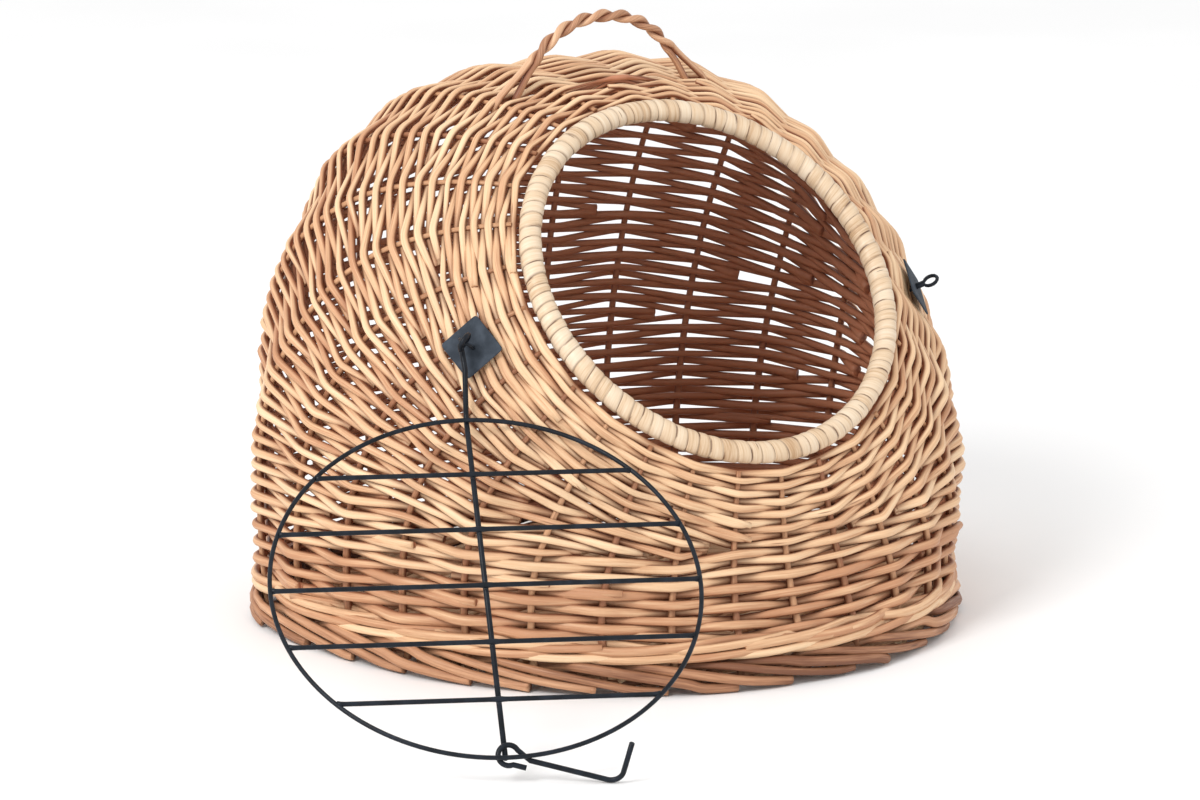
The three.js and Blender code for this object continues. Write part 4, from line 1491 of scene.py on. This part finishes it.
@dataclass
class RopedHandle:
    """Carrying handle: two rods laid round each other in a low arch over the top."""

    shape: WallShape
    y: float = 47.0
    half_span: float = 73.0
    turns: int = 4
    strand_radius: float = 2.4
    lay_radius: float = 2.2
    cad_strand_radius: float = 2.5
    foot_spread: float = 8.0
    foot_tilt: float = math.radians(32)
    spread_share: float = 0.14
    cut_share: float = 0.065
    cad_lay_radius: float = 2.75
    shoulders: float = 0.28
    knot_steps: int = 60
    tones: tuple = (0.35, 0.7)
    taper: tuple = (1.04, 0.96)
    shaded: float = 0.62
    steps: int = 190
    sunk: float = 12.0

    def arch(self, share: Array) -> Array:
        """Finds points of the arch, a Catmull-Rom curve through five knots.

        Args:
            share: Shares of the way along the arch, 0 to 1.

        Returns:
            The points, shape (n, 3).
        """
        crown = np.array([0.0, self.y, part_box("handle_strand_1")[1].z / MM])
        crown[2] -= self.cad_lay_radius + self.cad_strand_radius
        feet = {side: self.shape.top_at(side * self.half_span, self.y) for side in (-1, 1)}
        shoulders = {}
        for side, foot in feet.items():
            shoulders[side] = (foot + crown) / 2
            shoulders[side][2] += (crown[2] - foot[2]) * self.shoulders
        knots = np.array([feet[-1], shoulders[-1], crown, shoulders[1], feet[1]])
        dense = smooth_through(knots, self.knot_steps)
        run = np.r_[0, np.cumsum(np.linalg.norm(np.diff(dense, axis=0), axis=1))]
        return np.stack([np.interp(share * run[-1], run, dense[:, k]) for k in range(3)], 1)

    def strand(self, number: int) -> Array:
        """Finds one strand's path.

        The strand turns about the arch at the lay radius and parts from the other one
        towards the feet, where each has its own hole in the weave.

        Args:
            number: 0 for the strand with the outer feet, 1 for the other one.

        Returns:
            Points of the path, shape (n, 3).
        """
        share = np.linspace(0, 1, self.steps + 1)
        arch = self.arch(share)
        tangent = unit(np.gradient(arch, axis=0))
        in_arch = np.stack([-tangent[:, 2], 0 * share, tangent[:, 0]], 1)
        edge = np.minimum(share, 1 - share) / self.spread_share
        spread = np.maximum(1 - edge, 0) ** 2
        laid = np.clip((share - self.spread_share) / (1 - 2 * self.spread_share), 0, 1)
        phase = 2 * np.pi * self.turns * laid + np.pi * number
        side = np.where(share < 0.5, -1.0, 1.0)
        part = 1.0 if number == 0 else -1.0
        points = arch + ((1 - spread) * self.lay_radius * np.cos(phase))[:, None] * in_arch
        points[:, 1] += (1 - spread) * self.lay_radius * np.sin(phase)
        points[:, 0] += spread * side * self.foot_spread * part
        cut = round(self.steps * self.cut_share)
        ends = []
        for way in (-1, 1):
            foot = self.shape.top_at(way * (self.half_span + self.foot_spread * part), self.y)
            rise = np.array([-way * math.sin(self.foot_tilt), 0.0, math.cos(self.foot_tilt)])
            ends.append(np.vstack([foot - self.sunk * rise, foot - 0.4 * self.sunk * rise, foot]))
        return np.vstack([ends[0], points[cut:-cut], ends[1][::-1]])

    def build(self) -> Bundle:
        """Builds both strands."""
        bundle = Bundle()
        paths = [self.strand(0), self.strand(1)]
        for number, tone in enumerate(self.tones):
            # Painted shade on the side of each strand that faces the other one.
            away = unit(paths[number] - paths[1 - number])
            radius = self.strand_radius * np.linspace(*self.taper, len(away))
            bundle.add_tube(paths[number], radius, away, tone, sides=12, shaded=self.shaded)
        return bundle


# ---------------------------------------------------------------- door and fittings


@dataclass
class MouthPlate:
    """Small square plate of sheet steel that a pin is driven through."""

    side: Side
    half: float = 15.5
    thickness: float = 1.2
    hole: float = 0.8
    squareness: float = 16.0
    edge_steps: int = 96

    @property
    def node(self) -> str:
        """Name of the CAD plate."""
        return f"{self.side.name.lower()}_plate"

    @property
    def centre(self) -> Array:
        """Middle of the plate."""
        return middle_of(self.node)

    def axes(self) -> Array:
        """Returns the plate's two edge directions and its outward one, as columns.

        The outward one is that of the CAD plate's largest face, and the edges lie half
        a right angle from the line to its farthest corner.
        """
        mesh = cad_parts[self.node].data
        points = np.empty(3 * len(mesh.vertices))
        mesh.vertices.foreach_get("co", points)
        face = max(mesh.polygons, key=lambda polygon: polygon.area)
        out = np.array(face.normal)
        out = out * np.sign(out @ (self.centre * np.array([1.0, 1.0, 0.0])))
        spokes = points.reshape(-1, 3) / MM - self.centre
        corner = spokes[np.argmax(np.linalg.norm(spokes, axis=1))]
        first = unit(corner - (corner @ out) * out)
        second = np.cross(out, first)
        return np.stack([unit(first + second), unit(second - first), out], 1)

    def build(self) -> Bundle:
        """Builds the plate as rings of one profile round its small hole.

        At an angle a the edge lies half / (|cos a|^p + |sin a|^p)^(1/p) away, with p
        the squareness, and the profile runs over the front, round the edge and back.
        """
        angle = 2 * np.pi * np.arange(self.edge_steps) / self.edge_steps
        profile = np.array([
            [0.0, -0.3], [0.0, 0.3], [0.04, 0.5], [0.35, 0.5], [0.7, 0.5], [0.95, 0.5],
            [0.985, 0.42], [1.0, 0.2], [1.0, -0.2], [0.985, -0.42], [0.95, -0.5], [0.04, -0.5],
        ])
        power = self.squareness
        blunt = (np.abs(np.cos(angle)) ** power + np.abs(np.sin(angle)) ** power) ** (-1 / power)
        edge = self.half * blunt[:, None]
        reach = self.hole + (edge - self.hole) * profile[None, :, 0]
        height = np.broadcast_to(profile[None, :, 1] * self.thickness, reach.shape)
        own = np.stack([reach * np.cos(angle)[:, None], reach * np.sin(angle)[:, None], height], -1)
        points = own @ self.axes().T + self.centre
        bundle = Bundle()
        zero = np.zeros(reach.shape)
        bundle.add_sheet(points, own * MM, zero, zero)
        return bundle


@dataclass
class WireDoor:
    """Round wire door with a spine, five cross bars and a hook, hanging open.

    Its own frame has X from the hinge loop to the latch, Y along the bars and Z to the
    side that faces the cabin when the door is shut.
    """

    shape: WallShape
    spine_direction: tuple = (-0.3373, -0.7324, -0.5915)
    bar_direction: tuple = (0.9093, -0.4159, -0.0025)
    ring_wire: float = 1.5
    spine_wire: float = 1.8
    radius: float = 138.0
    bars: int = 5
    bar_wire: float = 1.6
    cad_ring_wire: float = 1.45
    cad_spine_wire: float = 1.75
    cad_bar_wire: float = 1.55
    cad_hook_wire: float = 1.7
    bar_short: float = 0.6
    bar_steps: int = 90
    end_weld: tuple = (2.2, 0.7)
    spine_weld: tuple = (3.0, 0.45)
    bead_offset: float = -1.7
    bead_length: float = 3.4
    bead_radius: float = 1.5
    neck_run: float = 43.5
    neck_rise: float = 27.7
    neck_lead: float = 4.0
    neck_bend: float = 12.0
    loop_radius: float = 5.5
    loop_gather: float = math.radians(48)
    loop_root: float = 3.2
    loop_end: float = 0.25
    loop_steps: int = 40
    gap: float = 0.3
    hook_wire: float = 1.75
    hook_loop: float = 6.6
    hook_loop_start: float = math.radians(-52)
    hook_loop_sweep: float = math.radians(-264)
    hook_loop_steps: int = 36
    hook_slope: float = math.radians(25)
    hook_inset: float = 3.4
    hook_aside: float = 2.0
    hook_neck: float = 14.0
    hook_shank: float = 72.0
    hook_tip: float = 31.0
    hook_bend: float = 8.5
    hook_tail: float = 8.5
    hook_turn: float = math.radians(74)
    hook_lean: float = math.radians(42)

    @property
    def basis(self) -> Array:
        """The open door's axes as columns."""
        x = unit(np.array(self.spine_direction))
        z = unit(np.cross(x, unit(np.array(self.bar_direction))))
        return np.stack([x, np.cross(z, x), z], 1)

    @property
    def hinge(self) -> Array:
        """The door's origin, found from the ring's middle in the CAD frame."""
        return middle_of("door_ring") - self.basis @ self.centre

    @property
    def centre(self) -> Array:
        """Middle of the ring in the door's frame."""
        return np.array([self.neck_run + self.radius, 0.0, -self.neck_rise])

    def place(self, points: Array) -> Array:
        """Moves points from the door's frame to the carrier's."""
        return points @ self.basis.T + self.hinge

    @property
    def swing_axis(self) -> Array:
        """Axis of the one turn from hanging open to shut, in the door's frame."""
        shut = np.stack([ACROSS, -self.shape.up_the_mouth, -self.shape.out_of_mouth], 1)
        turn = Matrix((shut @ self.basis.T).tolist()).to_quaternion()
        return unit(np.array(turn.axis)) @ self.basis

    def ring(self) -> Bundle:
        """Builds the ring as one closed wire."""
        angle = np.linspace(0, 2 * np.pi, 144, endpoint=False)
        path = self.centre + self.radius * np.stack([np.cos(angle), np.sin(angle), 0 * angle], 1)
        bundle = Bundle()
        bundle.add_tube(self.place(path), self.ring_wire, self.basis[:, 2], sides=14, closed=True)
        return bundle

    def spine(self) -> Bundle:
        """Builds the spine, its neck and the loop that hangs in the pin's eye."""
        z = self.centre[2] - self.cad_spine_wire - self.cad_bar_wire - self.gap
        axis = self.swing_axis
        neck = unit(np.array([self.neck_run, 0.0, -self.neck_rise]))
        down = unit(neck - (neck @ axis) * axis)
        aside = np.cross(axis, down)
        open_turn = 2 * np.pi - 2 * self.loop_gather
        angle = self.loop_gather + open_turn * np.linspace(0, 1, self.loop_steps)
        loop = self.loop_radius * (np.cos(angle)[:, None] * down + np.sin(angle)[:, None] * aside)
        root = neck * self.loop_root * self.loop_radius
        straight = rounded_corners(np.array([
            [self.centre[0] + self.radius - self.cad_ring_wire, 0.0, z],
            [self.centre[0] - self.radius - self.neck_lead, 0.0, z],
            root,
        ]), self.neck_bend)
        end = loop[-1] + self.loop_end * (root - loop[-1])
        path = self.place(np.vstack([straight, loop, end]))
        bundle = Bundle()
        bundle.add_tube(path, self.spine_wire, self.basis[:, 1], sides=14)
        return bundle

    def cross_bars(self) -> Bundle:
        """Builds the bars, welded in the ring, with a bead where they cross the spine."""
        bundle = Bundle()
        for i in range(self.bars):
            offset = self.radius * (2 * (i + 1) / (self.bars + 1) - 1)
            half = math.sqrt(self.radius**2 - offset**2) - self.bar_short
            y = np.linspace(-half, half, self.bar_steps)
            path = self.centre + np.stack([np.full_like(y, offset), y, 0 * y], 1)
            radius = np.full_like(y, self.bar_wire)
            for away, (spread, swell) in ((half - np.abs(y), self.end_weld), (y, self.spine_weld)):
                radius = radius + swell * np.exp(-(away / spread) ** 2)
            bundle.add_tube(self.place(path), radius, self.basis[:, 2], sides=12)
            run = np.linspace(-1, 1, 9)
            bead = self.centre + np.array([offset, 0.0, self.bead_offset])
            bead = bead + run[:, None] * self.bead_length * ACROSS
            radius = self.bead_radius * np.sqrt(np.maximum(1 - run**2, 0.02))
            bundle.add_tube(self.place(bead), radius, self.basis[:, 1], sides=10)
        return bundle

    def hook(self) -> Bundle:
        """Builds the hook: tail, loop, shank, bend and upright tip in one wire."""
        share = np.linspace(0, 1, self.hook_loop_steps)
        angle = self.hook_loop_start + self.hook_loop_sweep * share
        loop = self.hook_loop * np.stack([np.cos(angle), np.sin(angle), 0 * angle], 1)
        tail = loop[:1] + np.array([[self.hook_tail, 0.0, 0.0]])
        rise = np.array([0.0, math.sin(self.hook_lean), math.cos(self.hook_lean)])
        elbow = np.array([self.hook_shank, 0.0, 0.0])
        shank = rounded_corners(np.array([
            [self.hook_neck, 0.0, 0.0], elbow, elbow + rise * self.hook_tip,
        ]), self.hook_bend)
        own = np.vstack([tail, loop, shank])
        slope = self.hook_slope
        outward = np.array([math.cos(slope), 0.0, -math.sin(slope)])
        normal = np.cross(outward, BACK)
        aside = np.cross(normal, outward)
        along = math.cos(self.hook_turn) * outward + math.sin(self.hook_turn) * aside
        axes = np.stack([along, np.cross(normal, along), normal], 1)
        clearance = self.cad_ring_wire + self.cad_hook_wire + 2 * self.gap
        origin = np.array([
            self.centre[0] + self.radius - self.hook_inset,
            self.hook_aside,
            self.centre[2] - clearance + self.hook_inset * math.tan(slope),
        ])
        path = self.place(own @ axes.T + origin)
        bundle = Bundle()
        bundle.add_tube(path, self.hook_wire, self.basis @ normal, sides=14)
        return bundle


@dataclass
class Studio:
    """Pale floor, soft lights and the camera of the photograph's view."""

    target: tuple = (0.0, 0.0824, 0.13277)
    azimuth: float = 0.5557
    elevation: float = 0.2322
    distance: float = 4.2
    focal_pixels: float = 6030.9
    image_width: int = 1200
    shift_pixels: float = 25.71
    floor_half: float = 14.0
    sensor_width: float = 36.0
    farthest: float = 60.0
    surround: float = 0.95
    lit_point: tuple = (0.0, 0.0, 0.2)
    lights: tuple = (
        ("key", (-3.0, -1.25, 2.7), 1.4, 88.0),
        ("fill", (2.4, -2.2, 1.6), 2.0, 4.0),
    )

    def build(self, paper: bpy.types.Material) -> None:
        """Sets up the whole studio.

        Args:
            paper: Finish of the floor.
        """
        self.add_floor(paper)
        self.add_camera()
        self.add_surround()
        for light in self.lights:
            self.add_light(*light)

    def add_floor(self, paper: bpy.types.Material) -> None:
        """Adds a wide level floor.

        Args:
            paper: Its finish.
        """
        mesh = bpy.data.meshes.new("studio_floor")
        size = self.floor_half
        corners = [(-size, -size, 0.0), (size, -size, 0.0), (size, size, 0.0), (-size, size, 0.0)]
        mesh.from_pydata(corners, [], [(0, 1, 2, 3)])
        floor = bpy.data.objects.new("studio_floor", mesh)
        bpy.context.collection.objects.link(floor)
        mesh.materials.append(paper)

    def add_camera(self) -> None:
        """Adds the camera where the photograph was taken from."""
        camera = bpy.data.objects.new("camera", bpy.data.cameras.new("camera"))
        bpy.context.collection.objects.link(camera)
        away = np.array([
            -math.cos(self.elevation) * math.sin(self.azimuth),
            -math.cos(self.elevation) * math.cos(self.azimuth),
            math.sin(self.elevation),
        ])
        camera.location = np.array(self.target) + self.distance * away
        camera.rotation_euler = (math.pi / 2 - self.elevation, 0.0, -self.azimuth)
        camera.data.sensor_width = self.sensor_width
        camera.data.lens = self.sensor_width * self.focal_pixels / self.image_width
        camera.data.shift_x = self.shift_pixels / self.image_width
        camera.data.clip_end = self.farthest
        bpy.context.scene.camera = camera

    def add_light(self, name: str, place: tuple, size: float, power: float) -> None:
        """Adds a square area light that looks at the carrier.

        Args:
            name: Its name.
            place: Where it stands, in metres.
            size: Length of its side, in metres.
            power: Its power, in watts.
        """
        light = bpy.data.lights.new(name, "AREA")
        light.shape = "SQUARE"
        light.size = size
        light.energy = power
        lamp = bpy.data.objects.new(name, light)
        bpy.context.collection.objects.link(lamp)
        lamp.location = place
        aim = Vector(self.lit_point) - lamp.location
        lamp.rotation_euler = aim.to_track_quat("-Z", "Y").to_euler()

    def add_surround(self) -> None:
        """Adds the bright surround and sets how colours are shown."""
        world = bpy.data.worlds.new("studio")
        world.use_nodes = True
        background = world.node_tree.nodes["Background"]
        background.inputs["Color"].default_value = (1.0, 1.0, 1.0, 1.0)
        background.inputs["Strength"].default_value = self.surround
        bpy.context.scene.world = world
        bpy.context.scene.view_settings.view_transform = "Standard"


def basket_pieces(shape: WallShape, plates: list[MouthPlate], finishes: Finishes) -> list[Piece]:
    """Builds the willow work.

    Args:
        shape: The basket's form.
        plates: The two plates, which draw the wall in.
        finishes: The carrier's finishes.

    Returns:
        The pieces in order.
    """
    wall = WovenWall(shape, np.array([plate.centre for plate in plates]))
    floor = WovenFloor(shape)
    table = [
        (f"woven_wall_{name}", bundle, finishes.weaver, Slot.WILLOW, ["woven_siding"])
        for name, bundle in wall.build().items()
    ]
    table += [
        ("stakes", wall.uprights(), finishes.stake, Slot.DARK_WILLOW,
         [f"stake_{i + 1:02d}" for i in range(wall.stakes)]),
        ("foot_waling", WaledBand(shape).build(), finishes.weaver, Slot.WILLOW, ["bottom_wale"]),
        ("rolled_border", RolledBorder(shape).build(), finishes.border, Slot.DARK_WILLOW,
         ["foot_border"]),
        ("floor_rows", floor.build(), finishes.weaver, Slot.WILLOW, ["floor_weave"]),
        ("floor_sticks", floor.build_sticks(), finishes.stake, Slot.DARK_WILLOW,
         [f"floor_stick_{i + 1}" for i in range(floor.sticks)]),
        ("bound_rim", BoundRim(shape).build(), finishes.skein, Slot.SKEIN,
         ["rim_skein", "rim_hoop"]),
        ("roped_handle", RopedHandle(shape).build(), finishes.handle, Slot.WILLOW,
         ["handle_strand_1", "handle_strand_2"]),
    ]
    return [
        Piece(name, bundle, finish, Body.BASKET, slot, nodes)
        for name, bundle, finish, slot, nodes in table
    ]


def steel_pieces(shape: WallShape, plates: list[MouthPlate], finishes: Finishes) -> list[Piece]:
    """Builds the wire door, its hook and the two plates.

    Args:
        shape: The basket's form.
        plates: The two plates.
        finishes: The carrier's finishes.

    Returns:
        The pieces in order.
    """
    door = WireDoor(shape)
    bars = [f"cross_bar_{i + 1}" for i in range(door.bars)]
    table = [
        ("door_ring_wire", door.ring(), finishes.steel, Body.DOOR, ["door_ring"]),
        ("door_spine_wire", door.spine(), finishes.steel, Body.DOOR, ["door_spine"]),
        ("door_bars", door.cross_bars(), finishes.steel, Body.DOOR, bars),
        ("hook_wire", door.hook(), finishes.steel, Body.HOOK, ["latch_hook"]),
    ]
    table += [
        (f"{plate.side.name.lower()}_mouth_plate", plate.build(), finishes.plate, Body.BASKET,
         [plate.node])
        for plate in plates
    ]
    return [
        Piece(name, bundle, finish, body, Slot.STEEL, nodes)
        for name, bundle, finish, body, nodes in table
    ]


def main() -> None:
    """Builds every sub-assembly in order and reports each piece."""
    logging.basicConfig(level=logging.INFO, format="%(message)s")
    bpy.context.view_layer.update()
    finishes = Finishes()
    shape = WallShape()
    Studio().build(finishes.paper)

    plates = [MouthPlate(side) for side in Side]
    for piece in basket_pieces(shape, plates, finishes) + steel_pieces(shape, plates, finishes):
        piece.dress()
    for plate in plates:
        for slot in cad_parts[f"{plate.side.name.lower()}_eye_pin"].material_slots:
            slot.material = finishes.steel


if __name__ == "__main__":
    main()
